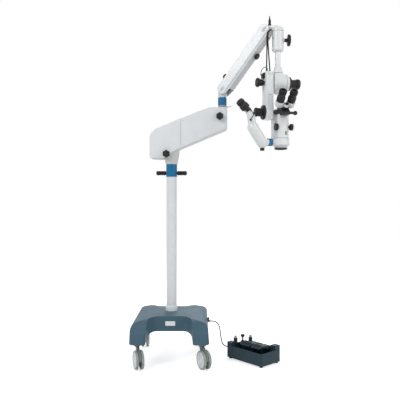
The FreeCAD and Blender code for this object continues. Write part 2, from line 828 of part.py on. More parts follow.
def carrier_bracket():
    """Upper tongue of the parallelogram with a round cap over the bearing housing, and its pins."""
    along, height = upper_pivot()
    seat = -carrier_drop
    half = post_flat_width / 2
    corners = [(-13, 20, 12), (carrier_reach, 20, 0), (carrier_reach, seat, 0), (26, seat, 4),
               (13, -tie_offset - 11, 10), (-13, -tie_offset - 11, 11)]
    tongue = prism_y(corners, -half, half)
    cap = lathe([(0, seat), (housing_radius + 1, seat), (housing_radius + 1, seat + 12),
                 (housing_radius - 5, seat + 22), (housing_radius - 14, seat + 28), (0, seat + 29)],
                V(carrier_reach, 0, 0))
    tongue = tongue.fuse(cap).removeSplitter()
    pieces = [placed(piece, arm_plane(along, height)) for piece in pinned(tongue)]
    centre, outward = cable_outlet()
    pieces[0] = pieces[0].fuse(rod(8, centre, centre.add(outward * outlet_reach))).removeSplitter()
    return pieces


def bearing_housing():
    """Round housing in which the pole turns, bored for the star knob's screw."""
    inner = pole_radius + running_gap
    high = housing_top()
    low = high - housing_height
    profile = [(inner, low), (housing_radius - 8, low), (housing_radius - 2.5, low + 3),
               (housing_radius, low + 9), (housing_radius, high), (inner, high)]
    base = head_place().Base
    housing = lathe(profile, base)

    def level(x):
        return V(base.x + x, base.y, high - star_knob_drop)

    boss = rod(12, level(inner + 4), level(housing_radius + 3))
    housing = housing.fuse(boss).removeSplitter()
    return housing.cut(rod(star_screw_radius + running_gap, level(10), level(50)))


def star_knob():
    """Large star knob that locks the pole, with its screw."""
    base = head_place().Base
    level = housing_top() - star_knob_drop
    face = V(base.x + housing_radius + 3 + slip_gap, base.y, level)
    knob = star_grip(star_knob_radius, 18, 6, face, X_AXIS, 10, 16)
    tip = V(base.x + pole_radius + slip_gap, base.y, level)
    screw = rod(star_screw_radius, tip, V(face.x + 1, base.y, level))
    return knob.fuse(screw).removeSplitter()


def cable_plug():
    """Socket and tapered plug standing on the carrier's bracket."""
    along, height = upper_pivot()
    base = arm_plane(along + 21, height + 20).Base
    profile = [(0, 0), (9, 0), (9, 16), (7, 17), (7, 36), (4, 44), (1.6, 62), (0, 62)]
    return lathe(profile, base)


def bent_tube(points, radius):
    """Tube of straight runs joined by tangent arcs, with its smallest radius and its length."""
    edges = []
    start = points[0]
    smallest = None
    length = 0.0
    for index in range(1, len(points) - 1):
        here = points[index]
        back = points[index - 1].sub(here)
        ahead = points[index + 1].sub(here)
        shorter = min(back.Length, ahead.Length)
        reach = 0.45 * shorter
        back = back.normalize()
        ahead = ahead.normalize()
        turn = pi - back.getAngle(ahead)
        bend = reach / tan(turn / 2)
        smallest = bend if smallest is None else min(smallest, bend)
        bisector = back.add(ahead).normalize()
        centre = here.add(bisector * (bend / cos(turn / 2)))
        first = here.add(back * reach)
        last = here.add(ahead * reach)
        edges.append(Part.LineSegment(start, first).toShape())
        edges.append(Part.Arc(first, centre.sub(bisector * bend), last).toShape())
        length += start.distanceToPoint(first) + bend * turn
        start = last
    edges.append(Part.LineSegment(start, points[-1]).toShape())
    length += start.distanceToPoint(points[-1])
    path = Part.Wire(edges)
    section = Part.Wire(Part.Circle(points[0], points[1].sub(points[0]), radius).toShape())
    tube = path.makePipeShell([section], True, False)
    share = tube.Volume / (pi * radius * radius * length)
    print("cord", round(length, 1), "mm, smallest radius", round(smallest, 1),
          "volume share", round(share, 4))
    return tube


def cable_route(side):
    """Points of one head cable: out of the outlet, over and down to its boot on the focus box."""
    centre, outward = cable_outlet()
    level = V(outward.x, outward.y, 0).normalize()
    across_outlet = V(-level.y, level.x, 0) * (side * 3.8)
    boot = V(cable_boots_x[(side + 1) // 2], cable_boot_y, box_top_z + cable_boot_height)
    foot = head_place().multVec(boot)
    start = centre.add(outward * outlet_reach).add(across_outlet)
    first = start.add(outward * 16)
    steep = V(level.x * 0.5, level.y * 0.5, -0.866)
    second = first.add(steep * 19)
    third = V(second.x + level.x * 1.5, second.y + level.y * 1.5, second.z - 27)
    drop = third.z - foot.z
    points = [start, first, second, third]
    for share, bow in ((0.22, 2.0), (0.46, 3.5), (0.68, 2.5), (0.86, 0.0)):
        points.append(V(third.x + (foot.x - third.x) * share ** 1.3,
                        third.y + (foot.y - third.y) * share - bow, third.z - drop * share))
    points[-1] = V(foot.x, foot.y, points[-1].z)
    return points + [foot]


def head_cables():
    """Two black cables from the carrier's outlet down to the focus box, as whole tubes."""
    return [bent_tube(cable_route(side), cable_radius) for side in (-1, 1)]


def head_carrier_nodes():
    """Sub-parts of the head carrier."""
    return {"carrier_bracket": carrier_bracket(), "bearing_housing": [bearing_housing()],
            "star_knob": [star_knob()], "head_cables": head_cables() + [cable_plug()]}


# Pole, drive housing and focus box, in the head's frame

def pole():
    """Pole with the cone collar that seats on the drive housing."""
    foot = drive_z + drive_radius
    top = housing_top() - pole_gap
    profile = [(0, foot), (collar_foot_radius, foot), (collar_foot_radius, foot + 7),
               (pole_radius + 2, collar_top_z - 2), (pole_radius, collar_top_z), (pole_radius, top - 2),
               (pole_radius - 2, top), (0, top)]
    return lathe(profile)


def drive_housing():
    """Round housing lying across the head, with a seat for the pole, a lower cap and a bored shaft way."""
    radius = drive_radius
    length = drive_right - drive_left
    barrel = lathe([(0, 0), (radius - 5, 0), (radius - 1.5, 1.5), (radius, 5), (radius, length - 14),
                    (radius - 1.5, length - 6), (radius - 7, length), (0, length)],
                   V(drive_left, 0, drive_z), X_AXIS)
    seat = upright(collar_foot_radius + 2, drive_z, drive_z + radius)
    cap = lathe([(0, -8), (24, -8), (30, -3), (30, 30), (0, 30)], V(8, 0, drive_z - radius))
    spigot = rod(28, V(box_right, 0, drive_z), V(drive_left + 1, 0, drive_z))
    housing = barrel.fuse(seat).fuse(cap).fuse(spigot).removeSplitter()
    return housing.cut(rod(wheel_shaft_radius + running_gap, V(box_right - 1, 0, drive_z),
                           V(drive_right + 1, 0, drive_z)))


def box_corners(inset):
    """Plan of the focus box."""
    left = box_left + inset
    right = box_right - inset
    half = box_half_depth - inset
    radius = 9 - inset
    return [(left, -half, radius), (right, -half, radius), (right, half, radius), (left, half, radius)]


def focus_box():
    """Tall hollow box with a slot each side for the tilt shaft."""
    shell = prism_z(box_corners(0), box_bottom_z, box_top_z)
    shell = shell.cut(prism_z(box_corners(box_wall), box_bottom_z + box_wall, box_top_z - box_wall))
    reach = focus_travel + 1
    pin = tilt_pin_radius + 1
    shell = shell.cut(box((box_right - box_wall - 1, box_right + 1), (-pin, pin),
                          (tilt_z - reach - tilt_pin_radius, tilt_z + reach + tilt_pin_radius)))
    shaft = wheel_shaft_radius + 1
    shell = shell.cut(box((box_left - 1, box_left + box_wall + 1), (-shaft, shaft),
                          (tilt_z - reach - wheel_shaft_radius, tilt_z + reach + wheel_shaft_radius)))
    return shell.cut(rod(wheel_shaft_radius + running_gap, V(box_right - box_wall - 1, 0, drive_z),
                         V(box_right + 1, 0, drive_z)))


def cable_boots():
    """Small tapered boots on the focus box where the cables end."""
    profile = [(0, 0), (5, 0), (5, 3), (3.4, cable_boot_height), (0, cable_boot_height)]
    return [lathe(profile, V(x, cable_boot_y, box_top_z)) for x in cable_boots_x]


def lamp_holder():
    """Lamp holder on the left of the focus box: stub, barrel, flange and a lug above."""
    stub = lathe([(0, 0), (12, 0), (12, 9), (18, 9), (18, 32), (25, 32), (25, 42), (22, 45), (0, 45)],
                 V(box_left, 0, drive_z), V(-1, 0, 0))
    lug = prism_y([(box_left - 13, box_top_z - 32, 3), (box_left, box_top_z - 32, 0),
                   (box_left, box_top_z - 2, 0),
                   (box_left - 13, box_top_z - 6, 5)], -14, 14)
    return [stub, lug]


def spool(lengths, radii, base, axis):
    """Hand-wheel: inner flange, barrel and outer flange."""
    first, second, third = lengths
    inner, barrel, outer = radii
    return lathe([(0, 0), (inner - 2, 0), (inner, 2), (inner, first - 2), (inner - 2, first),
                  (barrel, first),
                  (barrel, second), (outer - 1, second), (outer, second + 2), (outer, third - 3),
                  (outer - 3, third), (0, third)], base, axis)


def focus_wheel():
    """Focus hand-wheel on the right, with its shaft through the drive housing into the box."""
    wheel = spool((14, 50, 70), (wheel_flange_radius, wheel_barrel_radius, 28),
                  V(drive_right + slip_gap, 0, drive_z), X_AXIS)
    shaft = rod(wheel_shaft_radius, V(box_left + box_wall + 6, 0, drive_z), V(drive_right + 2, 0, drive_z))
    return wheel.fuse(shaft).removeSplitter()


def focus_carriage():
    """Slide block in the focus box, with the bore of the tilt pin and a rack bar beside the focus shaft."""
    left = box_left + box_wall + slip_gap
    right = box_right - box_wall - slip_gap
    low = tilt_z - carriage_half_height
    block = prism_z(box_corners(box_wall + slip_gap), low, tilt_z + carriage_half_height + 4)
    rack = box((left + 12, right - 12), (wheel_shaft_radius + 0.6, wheel_shaft_radius + 9),
               (tilt_z, box_top_z - box_wall - focus_travel - 1))
    block = block.fuse(rack).removeSplitter()
    middle = (left + right) / 2
    block = block.cut(rod(tilt_pin_radius + running_gap, V(middle, 0, tilt_z), V(right + 1, 0, tilt_z)))
    shaft = rod(wheel_shaft_radius - 2 + running_gap, V(left - 1, 0, tilt_z), V(middle + 1, 0, tilt_z))
    return block.cut(shaft)


def tilt_wheel():
    """Tilt hand-wheel on the left, with its shaft in the focus carriage."""
    wheel = spool((12, 40, 54), (wheel_flange_radius + 1, wheel_barrel_radius - 1, 25),
                  V(box_left - slip_gap, 0, tilt_z), V(-1, 0, 0))
    middle = (box_left + box_right) / 2
    shaft = rod(wheel_shaft_radius - 2, V(box_left - 2, 0, tilt_z), V(middle - 1, 0, tilt_z))
    return wheel.fuse(shaft).removeSplitter()


def pole_nodes():
    """Sub-parts that turn with the pole, and the focus carriage."""
    place = head_place()
    nodes = {"pole": [pole()], "drive_housing": [drive_housing()],
             "focus_box": [focus_box()] + cable_boots(), "lamp_holder": lamp_holder(),
             "focus_wheel": [focus_wheel()], "focus_carriage": [focus_carriage()],
             "tilt_wheel": [tilt_wheel()]}
    return {name: [placed(piece, place) for piece in pieces] for name, pieces in nodes.items()}


# Microscope, in the head's frame

def scope_body():
    """Zoom body: round front, flat back, a step at the left for the zoom knob, and the tilt pin."""
    left = scope_x - scope_half_width
    right = scope_x + scope_half_width
    front = scope_y - scope_front
    rear = scope_y + scope_rear
    body = prism_z([(left, rear, 10), (left, front, 41), (right, front, 41), (right, rear, 10)],
                   scope_bottom_z, scope_top_z)
    step_y = zoom_knob_y + zoom_knob_radius + 2
    body = body.cut(box((left - 1, left + 15), (front - 1, step_y), (scope_bottom_z - 1, scope_top_z + 1)))
    back = prism_z([(left, rear, 10), (left, rear - 34, 0), (right, rear - 34, 0), (right, rear, 10)],
                   scope_top_z - 1, tilt_z + tilt_pin_radius + 8)
    body = body.fuse(back)
    boss_end = (box_left + box_right) / 2 + 1
    body = body.fuse(rod(tilt_pin_radius + 5, V(left - 3, 0, tilt_z), V(left + 12, 0, tilt_z)))
    body = body.fuse(rod(tilt_pin_radius, V(boss_end, 0, tilt_z), V(left, 0, tilt_z))).removeSplitter()
    shaft = rod(5 + running_gap, V(left - 1, zoom_knob_y, zoom_knob_z),
                V(right + 1, zoom_knob_y, zoom_knob_z))
    return body.cut(shaft)


def zoom_knobs():
    """Zoom knobs left and right on one shaft."""
    left = scope_x - scope_half_width
    right = scope_x + scope_half_width
    inner = left + 15 - slip_gap
    knob = [(0, 0), (zoom_knob_radius - 1, 0), (zoom_knob_radius, 1), (zoom_knob_radius, 12),
            (zoom_knob_radius - 2, 14), (0, 14)]
    near = lathe(knob, V(inner, zoom_knob_y, zoom_knob_z), V(-1, 0, 0))
    far = lathe(knob, V(right + slip_gap, zoom_knob_y, zoom_knob_z), X_AXIS)
    shaft = rod(5, V(inner, zoom_knob_y, zoom_knob_z), V(right + slip_gap, zoom_knob_y, zoom_knob_z))
    return [near, far.fuse(shaft).removeSplitter()]


def objective_drum():
    """Spool below the body, in whose groove the assistant's band turns."""
    top = scope_bottom_z
    groove = drum_radius - 3
    profile = [(0, drum_bottom_z), (drum_radius - 4, drum_bottom_z), (drum_radius, drum_bottom_z + 4),
               (drum_radius, band_low - slip_gap), (groove, band_low - slip_gap),
               (groove, band_high + slip_gap),
               (drum_radius, band_high + slip_gap), (drum_radius, top), (0, top)]
    return lathe(profile, V(scope_x, scope_y, 0))


def objective_ring():
    """Black ring with the accessory bore, and the objective lens in its upper seat."""
    bore_top = objective_bottom_z + objective_bore_depth
    seat = objective_bore_radius + 2
    profile = [(objective_bore_radius, objective_bottom_z), (objective_radius - 1, objective_bottom_z),
               (objective_radius, objective_bottom_z + 1), (objective_radius, drum_bottom_z),
               (seat, drum_bottom_z),
               (seat, bore_top), (objective_bore_radius, bore_top)]
    ring = lathe(profile, V(scope_x, scope_y, 0))
    disc = upright(seat - running_gap, bore_top, drum_bottom_z - 0.5, scope_x, scope_y)
    bulge = 160.0
    dome = Part.makeSphere(bulge, V(scope_x, scope_y, bore_top + bulge))
    return [ring, disc.common(dome)]


def ocular_frame():
    """Placement whose z axis runs up the inclined eyepieces and whose origin is their hinge."""
    pitch = FreeCAD.Rotation(X_AXIS, ocular_incline)
    return FreeCAD.Placement(V(scope_x, ocular_hinge_y, ocular_hinge_z), pitch)


def ocular_rise():
    """How far the eyepieces lie above their hinge, square to it."""
    return sqrt(ocular_arm ** 2 - (ocular_spacing / 2) ** 2)


def ocular(side, ring_low):
    """One ocular: prism housing with its hinge ring, eyepiece tube with eyecup, and eye lens."""
    x = side * ocular_spacing / 2
    y = ocular_rise()
    low = -14.0
    high = 16.0
    housing = lathe([(0, low), (20, low), (24, low + 4), (25, low + 8), (25, high - 4), (23, high),
                     (0, high)],
                    V(x, y, 0))
    ring_high = ring_low + hinge_ring_height
    angle = FreeCAD.Rotation(V(1, 0, 0), V(x, y, 0))
    link = box((0, ocular_arm - 10), (-8, 8), (ring_low, ring_high))
    link = placed(link, FreeCAD.Placement(V(0, 0, 0), angle))
    arm = upright(11, ring_low, ring_high).fuse(link).fuse(housing).removeSplitter()
    arm = arm.cut(upright(6 + running_gap, ring_low - 1, ring_high + 1))
    radius = eyepiece_radius
    end = high + eyepiece_length
    tube = lathe([(0, high), (radius - 3, high), (radius, high + 3), (radius, high + 30),
                  (radius - 3, high + 34), (radius - 3, high + 42), (radius - 1, high + 46),
                  (radius - 1, end - 12), (radius - 5, end),
                  (radius - 9, end), (radius - 9, end - 14), (0, end - 14)], V(x, y, 0))
    lens = upright(radius - 9.5, end - 14, end - 10, x, y)
    return [arm, tube, lens]


def binocular_hub():
    """Black hub on the body: its inclined nose holds the hinge pin, a ball-ended bar lies across it."""
    slope = ocular_hinge_z - ocular_hinge_y
    foot = scope_top_z
    reach = 15.0 * sqrt(2)
    nose = ocular_hinge_y - 6
    half = 22
    wedge = prism_x([(scope_y + 8, foot, 0), (scope_y + 8, foot + 26, 6), (-30, -30 + slope - reach, 4),
                     (nose, nose + slope - reach, 3), (nose, foot - 8, 4),
                     (scope_y - scope_front - 1, foot - 8, 0),
                     (scope_y - scope_front - 1, foot, 0)], scope_x - half, scope_x + half)
    frame = ocular_frame()
    stack = 2 * (hinge_ring_height + slip_gap)
    pin = upright(10, -24, -slip_gap).fuse(upright(6, -2, stack)).fuse(upright(10, stack, stack + 4))
    hub = wedge.fuse(placed(pin, frame)).removeSplitter()
    bar_z = foot - 1
    bar_y = nose - 4
    bar = rod(7, V(bar_left, bar_y, bar_z), V(bar_right, bar_y, bar_z))
    for x in (bar_left, bar_right):
        bar = bar.fuse(Part.makeSphere(12, V(x, bar_y, bar_z)))
    return hub.fuse(bar).removeSplitter()


def assistant_point(reach, height):
    """Point of the assistant scope, out from the optical axis at its rest direction."""
    angle = radians(180 + assistant_turn)
    return V(scope_x + reach * cos(angle), scope_y + reach * sin(angle), height)


def assistant_bend(corner):
    """Bend of the assistant scope, as (reach, height above its clamp ring)."""
    return assistant_point(corner[0], assistant_z + corner[1])


def eyepiece_seat():
    """Where the assistant's eyepiece seats on its tube."""
    throat = assistant_bend(assistant_throat)
    axis = assistant_bend(assistant_eye).sub(throat)
    return throat.add(axis.normalize() * (assistant_tube_radius + 2))


def assistant_scope():
    """Assistant scope: band round the objective drum, clamp ring, bent body, neck and eyepiece tube."""
    band_inner = drum_radius - 3 + slip_gap
    band_outer = drum_radius + 3.5
    band = lathe([(band_inner, band_low), (band_outer, band_low), (band_outer, band_high),
                  (band_inner, band_high)], V(scope_x, scope_y, 0))
    root = assistant_point(band_inner + 2, assistant_z)
    elbow = assistant_bend(assistant_elbow)
    shoulder = assistant_bend(assistant_shoulder)
    neck = assistant_bend(assistant_neck)
    throat = assistant_bend(assistant_throat)
    radius = assistant_radius
    stub = rod(15, root, assistant_point(88, assistant_z - 1))
    band = band.fuse(stub.cut(upright(band_inner, band_low - 5, band_high + 5, scope_x, scope_y)))
    ring = rod(21, assistant_point(60, assistant_z), assistant_point(86, assistant_z))
    body = rod(19, assistant_point(86, assistant_z), elbow).fuse(Part.makeSphere(radius, elbow))
    body = body.fuse(rod(radius, elbow, shoulder)).fuse(Part.makeSphere(radius, shoulder))
    body = body.fuse(rod(22, shoulder, neck)).fuse(Part.makeSphere(22, neck))
    body = body.fuse(rod(assistant_tube_radius, neck, throat))
    body = body.fuse(Part.makeSphere(assistant_tube_radius, throat))
    body = body.fuse(rod(assistant_tube_radius, throat, eyepiece_seat()))
    body = body.fuse(rod(12, V(elbow.x, elbow.y, elbow.z - radius - 12), elbow))
    return band.fuse(ring).fuse(body).removeSplitter()


def assistant_eyepiece():
    """Assistant's eyepiece with its grip ring."""
    base = eyepiece_seat()
    axis = base.sub(assistant_bend(assistant_throat))
    return lathe([(0, 0), (20, 0), (24, 4), (24, 26), (20, 30), (20, 38), (22, 40), (22, 50), (18, 56),
                  (13, 56), (13, 46), (0, 46)], base, axis)


def scope_nodes():
    """Sub-parts of the microscope."""
    place = head_place()
    frame = ocular_frame()
    nodes = {"scope_body": [scope_body()], "zoom_knobs": zoom_knobs(), "objective_drum": [objective_drum()],
             "objective_ring": objective_ring(), "binocular_hub": [binocular_hub()],
             "ocular_left": [placed(piece, frame) for piece in ocular(-1, 0.0)],
             "ocular_right": [placed(piece, frame) for piece in ocular(1, hinge_ring_height + slip_gap)],
             "assistant_scope": [assistant_scope()], "assistant_eyepiece": [assistant_eyepiece()]}
    return {name: [placed(piece, place) for piece in pieces] for name, pieces in nodes.items()}


# Foot control, in the tray's frame: x along its length

def tray_place():
    """Placement of the foot control on the floor."""
    return FreeCAD.Placement(V(tray_x, tray_y, 0), FreeCAD.Rotation(Z_AXIS, tray_turn))


def tray():
    """Open tray with feet, corner blocks, treadle bearings, button sleeves and joystick posts."""
    half_x = tray_length / 2
    half_y = tray_width / 2
    floor = tray_foot + tray_wall

    def plan(inset):
        return [(-half_x + inset, -half_y + inset, 8 - inset), (half_x - inset, -half_y + inset, 8 - inset),
                (half_x - inset, half_y - inset, 8 - inset), (-half_x + inset, half_y - inset, 8 - inset)]

    shell = prism_z(plan(0), tray_foot, tray_height)
    shell = shell.cut(prism_z(plan(tray_wall), floor, tray_height + 1))
    for x in (-half_x + 16, half_x - 16):
        for y in (-half_y + 16, half_y - 16):
            shell = shell.fuse(upright(9, 0, tray_foot + 1, x, y))
    low = floor - 1
    near_block = box((-half_x + 2, -half_x + 34), (-half_y + 2, -half_y + 36), (low, tray_height + 20))
    far_block = box((half_x - 36, half_x - 2), (half_y - 40, half_y - 2), (low, tray_height + 24))
    shell = shell.fuse(near_block).fuse(far_block)
    for left, right in treadle_spans:
        for x in (left - 7.3, right + 1.3):
            bearing = prism_x([(treadle_hinge_y - 8, low, 0), (treadle_hinge_y + 8, low, 0),
                               (treadle_hinge_y + 8, treadle_hinge_z + 8, 7),
                               (treadle_hinge_y - 8, treadle_hinge_z + 8, 7)], x, x + 6)
            shell = shell.fuse(bearing)
    for x, y in button_places:
        way = upright(7 + running_gap, floor + 14, button_sleeve_top + 1, x, y)
        shell = shell.fuse(upright(11, low, button_sleeve_top, x, y).cut(way))
    x, y = joystick_place
    for side in (-1, 1):
        near = x + side * 17.3
        far = x + side * 24
        shell = shell.fuse(box((min(near, far), max(near, far)), (y - 7, y + 7), (low, joystick_z + 7)))
    shell = shell.removeSplitter()
    for left, right in treadle_spans:
        shell = shell.cut(rod(4 + running_gap, V(left - 8, treadle_hinge_y, treadle_hinge_z),
                              V(right + 8, treadle_hinge_y, treadle_hinge_z)))
    return shell.cut(rod(2.5 + running_gap, V(x - 22, y, joystick_z), V(x + 22, y, joystick_z)))


def treadle(left, right):
    """Treadle plate with a ribbed edge, a skirt and its hinge pin."""
    top = treadle_hinge_z
    y = treadle_hinge_y
    plate = prism_x([(y + 9, top - 5, 4), (y + 9, top + 8, 4), (treadle_front_y + 26, top + 22, 12),
                     (treadle_front_y, top + 15, 5), (treadle_front_y, top + 7, 3),
                     (treadle_front_y + 26, top + 12, 8), (y - 12, top - 5, 5)], left, right)
    pin = rod(4, V(left - 6, y, top), V(right + 6, y, top))
    return plate.fuse(pin).removeSplitter()


def joystick_gimbal():
    """Gimbal ring on two pins."""
    x, y = joystick_place
    z = joystick_z
    ring = upright(15, z - 4.5, z + 4.5, x, y).cut(upright(11, z - 6, z + 6, x, y))
    for side in (-1, 1):
        ring = ring.fuse(rod(2.5, V(x + side * 14, y, z), V(x + side * 21.5, y, z)))
    return ring.removeSplitter().cut(rod(2.5 + running_gap, V(x, y - 20, z), V(x, y + 20, z)))


def joystick():
    """Joystick: stem, cross pin in the gimbal and a round head."""
    x, y = joystick_place
    z = joystick_z
    stick = lathe([(0, -8), (6, -8), (6, 8), (4, 12), (4, 40), (10, 44), (11.5, 48), (11.5, 54), (8, 57),
                   (0, 58)],
                  V(x, y, z))
    return stick.fuse(rod(2.5, V(x, y - 14.5, z), V(x, y + 14.5, z))).removeSplitter()


def push_button(x, y):
    """Push button in its sleeve."""
    low = tray_foot + tray_wall + 14 + button_travel + 1
    return lathe([(0, low), (7, low), (7, button_top - 2), (5.5, button_top), (0, button_top)], V(x, y, 0))


def base_gland_x():
    """Where the gland's flange seats on the side of the base."""
    return base_side(base_gland_z - gland_radius - 2) + 0.02


def cord_route():
    """Points of the foot control's cord, from the base's gland to the tray's gland."""
    end = tray_place().multVec(V(-tray_length / 2 - 14, tray_gland_y, tray_gland_z))
    back = tray_place().Rotation.multVec(V(-1, 0, 0))
    near = end.add(back * 32)
    start = V(base_gland_x() + 18, base_gland_y, base_gland_z)
    return [start, start.add(V(26, -0.7, -0.4)), start.add(V(46.7, -6.3, -18.3)), V(281.6, 42.1, 137.9),
            V(285, 29.9, 106.3), V(289.8, 16.5, 77.7), near, end]


def cord_glands():
    """Gland on the side of the base, and gland on the tray."""
    shank = gland_radius
    flange = gland_radius + 2
    base = lathe([(0, -14), (shank, -14), (shank, 0), (flange, 0), (flange, 4), (5.5, 5), (3.6, 18),
                  (0, 18)],
                 V(base_gland_x(), base_gland_y, base_gland_z), X_AXIS)
    tray_side = placed(lathe([(0, 0), (flange, 0), (flange, 4), (5.5, 5), (3.6, 14), (0, 14)],
                             V(-tray_length / 2, tray_gland_y, tray_gland_z), V(-1, 0, 0)), tray_place())
    return [base, tray_side]


def foot_nodes():
    """Sub-parts of the foot control and its cord."""
    place = tray_place()
    (left_a, right_a), (left_b, right_b) = treadle_spans
    nodes = {"pedal_tray": [tray()], "left_treadle": [treadle(left_a, right_a)],
             "right_treadle": [treadle(left_b, right_b)], "joystick_gimbal": [joystick_gimbal()],
             "joystick": [joystick()], "pedal_button_front": [push_button(*button_places[0])],
             "pedal_button_rear": [push_button(*button_places[1])]}
    nodes = {name: [placed(piece, place) for piece in pieces] for name, pieces in nodes.items()}
    nodes["cord_glands"] = cord_glands()
    nodes["pedal_cord"] = [bent_tube(cord_route(), cord_radius)]
    return nodes


def export(name, solids):
    """Write one sub-part."""
    shape = solids[0] if len(solids) == 1 else Part.makeCompound(solids)
    shape.exportStep("parts/" + name + ".step")
    print(name, len(solids), round(sum(s.Volume for s in solids) / 1000.0, 1), "cm3")


def main():
    """Build and write every sub-part."""
    os.makedirs("parts", exist_ok=True)
    nodes = {}
    for group in (base_nodes, swing_nodes, spring_arm_nodes, head_carrier_nodes, pole_nodes, scope_nodes,
                  foot_nodes):
        nodes.update(group())
    for name, solids in nodes.items():
        export(name, solids)


main()
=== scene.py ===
import json
from math import cos, pi, radians, sin

import bmesh
import bpy
from bpy.props import FloatProperty, FloatVectorProperty, IntProperty, PointerProperty
from mathutils import Matrix, Vector


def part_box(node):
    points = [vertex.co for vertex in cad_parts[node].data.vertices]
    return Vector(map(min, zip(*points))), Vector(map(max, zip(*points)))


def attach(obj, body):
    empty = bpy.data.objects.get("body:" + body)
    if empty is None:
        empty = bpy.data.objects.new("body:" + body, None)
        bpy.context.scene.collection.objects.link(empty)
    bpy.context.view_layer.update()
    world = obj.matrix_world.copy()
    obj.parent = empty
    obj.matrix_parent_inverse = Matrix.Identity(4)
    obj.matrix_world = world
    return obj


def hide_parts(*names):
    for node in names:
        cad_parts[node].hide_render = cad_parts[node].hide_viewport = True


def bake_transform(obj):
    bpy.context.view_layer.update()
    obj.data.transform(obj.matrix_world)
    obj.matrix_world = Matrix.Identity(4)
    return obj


bl_info = {
    "name": "Surgical microscope on a floor stand",
    "version": (1, 0, 0),
    "blender": (4, 5, 0),
    "location": "3D View > Sidebar > Microscope",
    "description": "Finishes and fittings of a surgical microscope on its floor stand",
    "category": "Object",
}

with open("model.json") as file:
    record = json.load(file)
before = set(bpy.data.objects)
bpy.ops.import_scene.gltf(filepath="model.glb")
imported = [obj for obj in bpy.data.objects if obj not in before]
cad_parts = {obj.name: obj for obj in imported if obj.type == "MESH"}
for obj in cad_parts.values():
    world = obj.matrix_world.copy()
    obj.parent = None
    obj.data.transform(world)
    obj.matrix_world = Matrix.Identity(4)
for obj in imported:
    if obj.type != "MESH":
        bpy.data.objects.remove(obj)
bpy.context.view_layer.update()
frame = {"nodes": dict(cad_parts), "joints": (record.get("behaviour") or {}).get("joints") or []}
joints = {joint["name"]: joint for joint in frame["joints"]}


def joint_point(name):
    """Point on a joint's axis."""
    return Vector(joints[name]["pos_m"])


def at(x, y, z):
    """Matrix of a place, in metres."""
    return Matrix.Translation((x, y, z))


def turned(degrees, axis):
    """Matrix of a turn about an axis."""
    return Matrix.Rotation(radians(degrees), 4, axis)


# Turns in degrees, and frames of the turned parts, in metres

arm_yaw = -24.0
arm_rise = 51.0
head_yaw = 12.0
tray_yaw = -48.0
ocular_tilt = 45.0
assistant_turn = 12.0
pole_axis = joint_point("head_turn")
upper_pivot = joint_point("carrier_level")
arm_frame = (Matrix.Translation(joint_point("arm_lift")) @ turned(arm_yaw, "Z")
             @ turned(-arm_rise, "Y"))
head_frame = at(pole_axis.x, pole_axis.y, 0) @ turned(head_yaw, "Z")
tray_frame = at(0.462, -0.092, 0) @ turned(tray_yaw, "Z")
ocular_frame = head_frame @ at(0.014, -0.0877, 1.3973) @ turned(ocular_tilt, "X")
optical_x, optical_y = 0.014, -0.010
optical_axis = head_frame @ Vector((optical_x, optical_y, 0))


# Settings

class StandSettings(bpy.types.PropertyGroup):
    """Colours and small sizes of the base, column and arms"""
    cover_blue: FloatVectorProperty(
        name="Base cover", description="Colour of the moulded base cover",
        subtype="COLOR", default=(0.070, 0.134, 0.180), min=0, max=1)
    white: FloatVectorProperty(
        name="White enamel", description="Colour of the column and the arm covers",
        subtype="COLOR", default=(0.80, 0.82, 0.83), min=0, max=1)
    ring_blue: FloatVectorProperty(
        name="Blue rings", description="Colour of the rings at the joints",
        subtype="COLOR", default=(0.000, 0.148, 0.335), min=0, max=1)
    neck_grey: FloatVectorProperty(
        name="Neck grey", description="Colour of the neck under the swing arm",
        subtype="COLOR", default=(0.66, 0.68, 0.66), min=0, max=1)
    tread_depth: FloatProperty(
        name="Tread depth", description="Depth of the grooves round each tyre",
        default=0.0008, unit="LENGTH")
    grip_ribs: IntProperty(
        name="Grip ribs", description="Raised ribs round each push grip",
        default=9, min=3, max=20)


class HeadSettings(bpy.types.PropertyGroup):
    """Colours and small sizes of the microscope head"""
    body_white: FloatVectorProperty(
        name="Body white", description="Colour of the microscope's body",
        subtype="COLOR", default=(0.82, 0.83, 0.83), min=0, max=1)
    knob_black: FloatVectorProperty(
        name="Knob black", description="Colour of knobs and hand-wheels",
        subtype="COLOR", default=(0.008, 0.008, 0.009), min=0, max=1)
    flutes: IntProperty(
        name="Wheel flutes", description="Grooves round each hand-wheel",
        default=40, min=12, max=90)
    cable_radius: FloatProperty(
        name="Cable radius", description="Radius of the head's two cables",
        default=0.0034, unit="LENGTH")


class PedalSettings(bpy.types.PropertyGroup):
    """Colours and small sizes of the foot control"""
    tray_blue: FloatVectorProperty(
        name="Tray blue", description="Colour of the foot control's tray",
        subtype="COLOR", default=(0.022, 0.048, 0.064), min=0, max=1)
    button_grey: FloatVectorProperty(
        name="Button grey", description="Colour of the push buttons",
        subtype="COLOR", default=(0.42, 0.45, 0.45), min=0, max=1)
    cord_radius: FloatProperty(
        name="Cord radius", description="Radius of the foot control's cord",
        default=0.0028, unit="LENGTH")
    treadle_ribs: IntProperty(
        name="Treadle ribs", description="Ribs across each treadle",
        default=5, min=2, max=12)


def settings(name):
    """One of the settings groups on the scene."""
    return getattr(bpy.context.scene, "microscope_" + name)


# Finishes

def add_node(tree, kind, sockets, **options):
    """Shader node whose inputs are set to values or linked from other nodes' outputs."""
    node = tree.nodes.new("ShaderNode" + kind)
    for option, value in options.items():
        setattr(node, option, value)
    for name, value in sockets.items():
        if isinstance(value, bpy.types.NodeSocket):
            tree.links.new(value, node.inputs[name])
        else:
            node.inputs[name].default_value = value
    return node


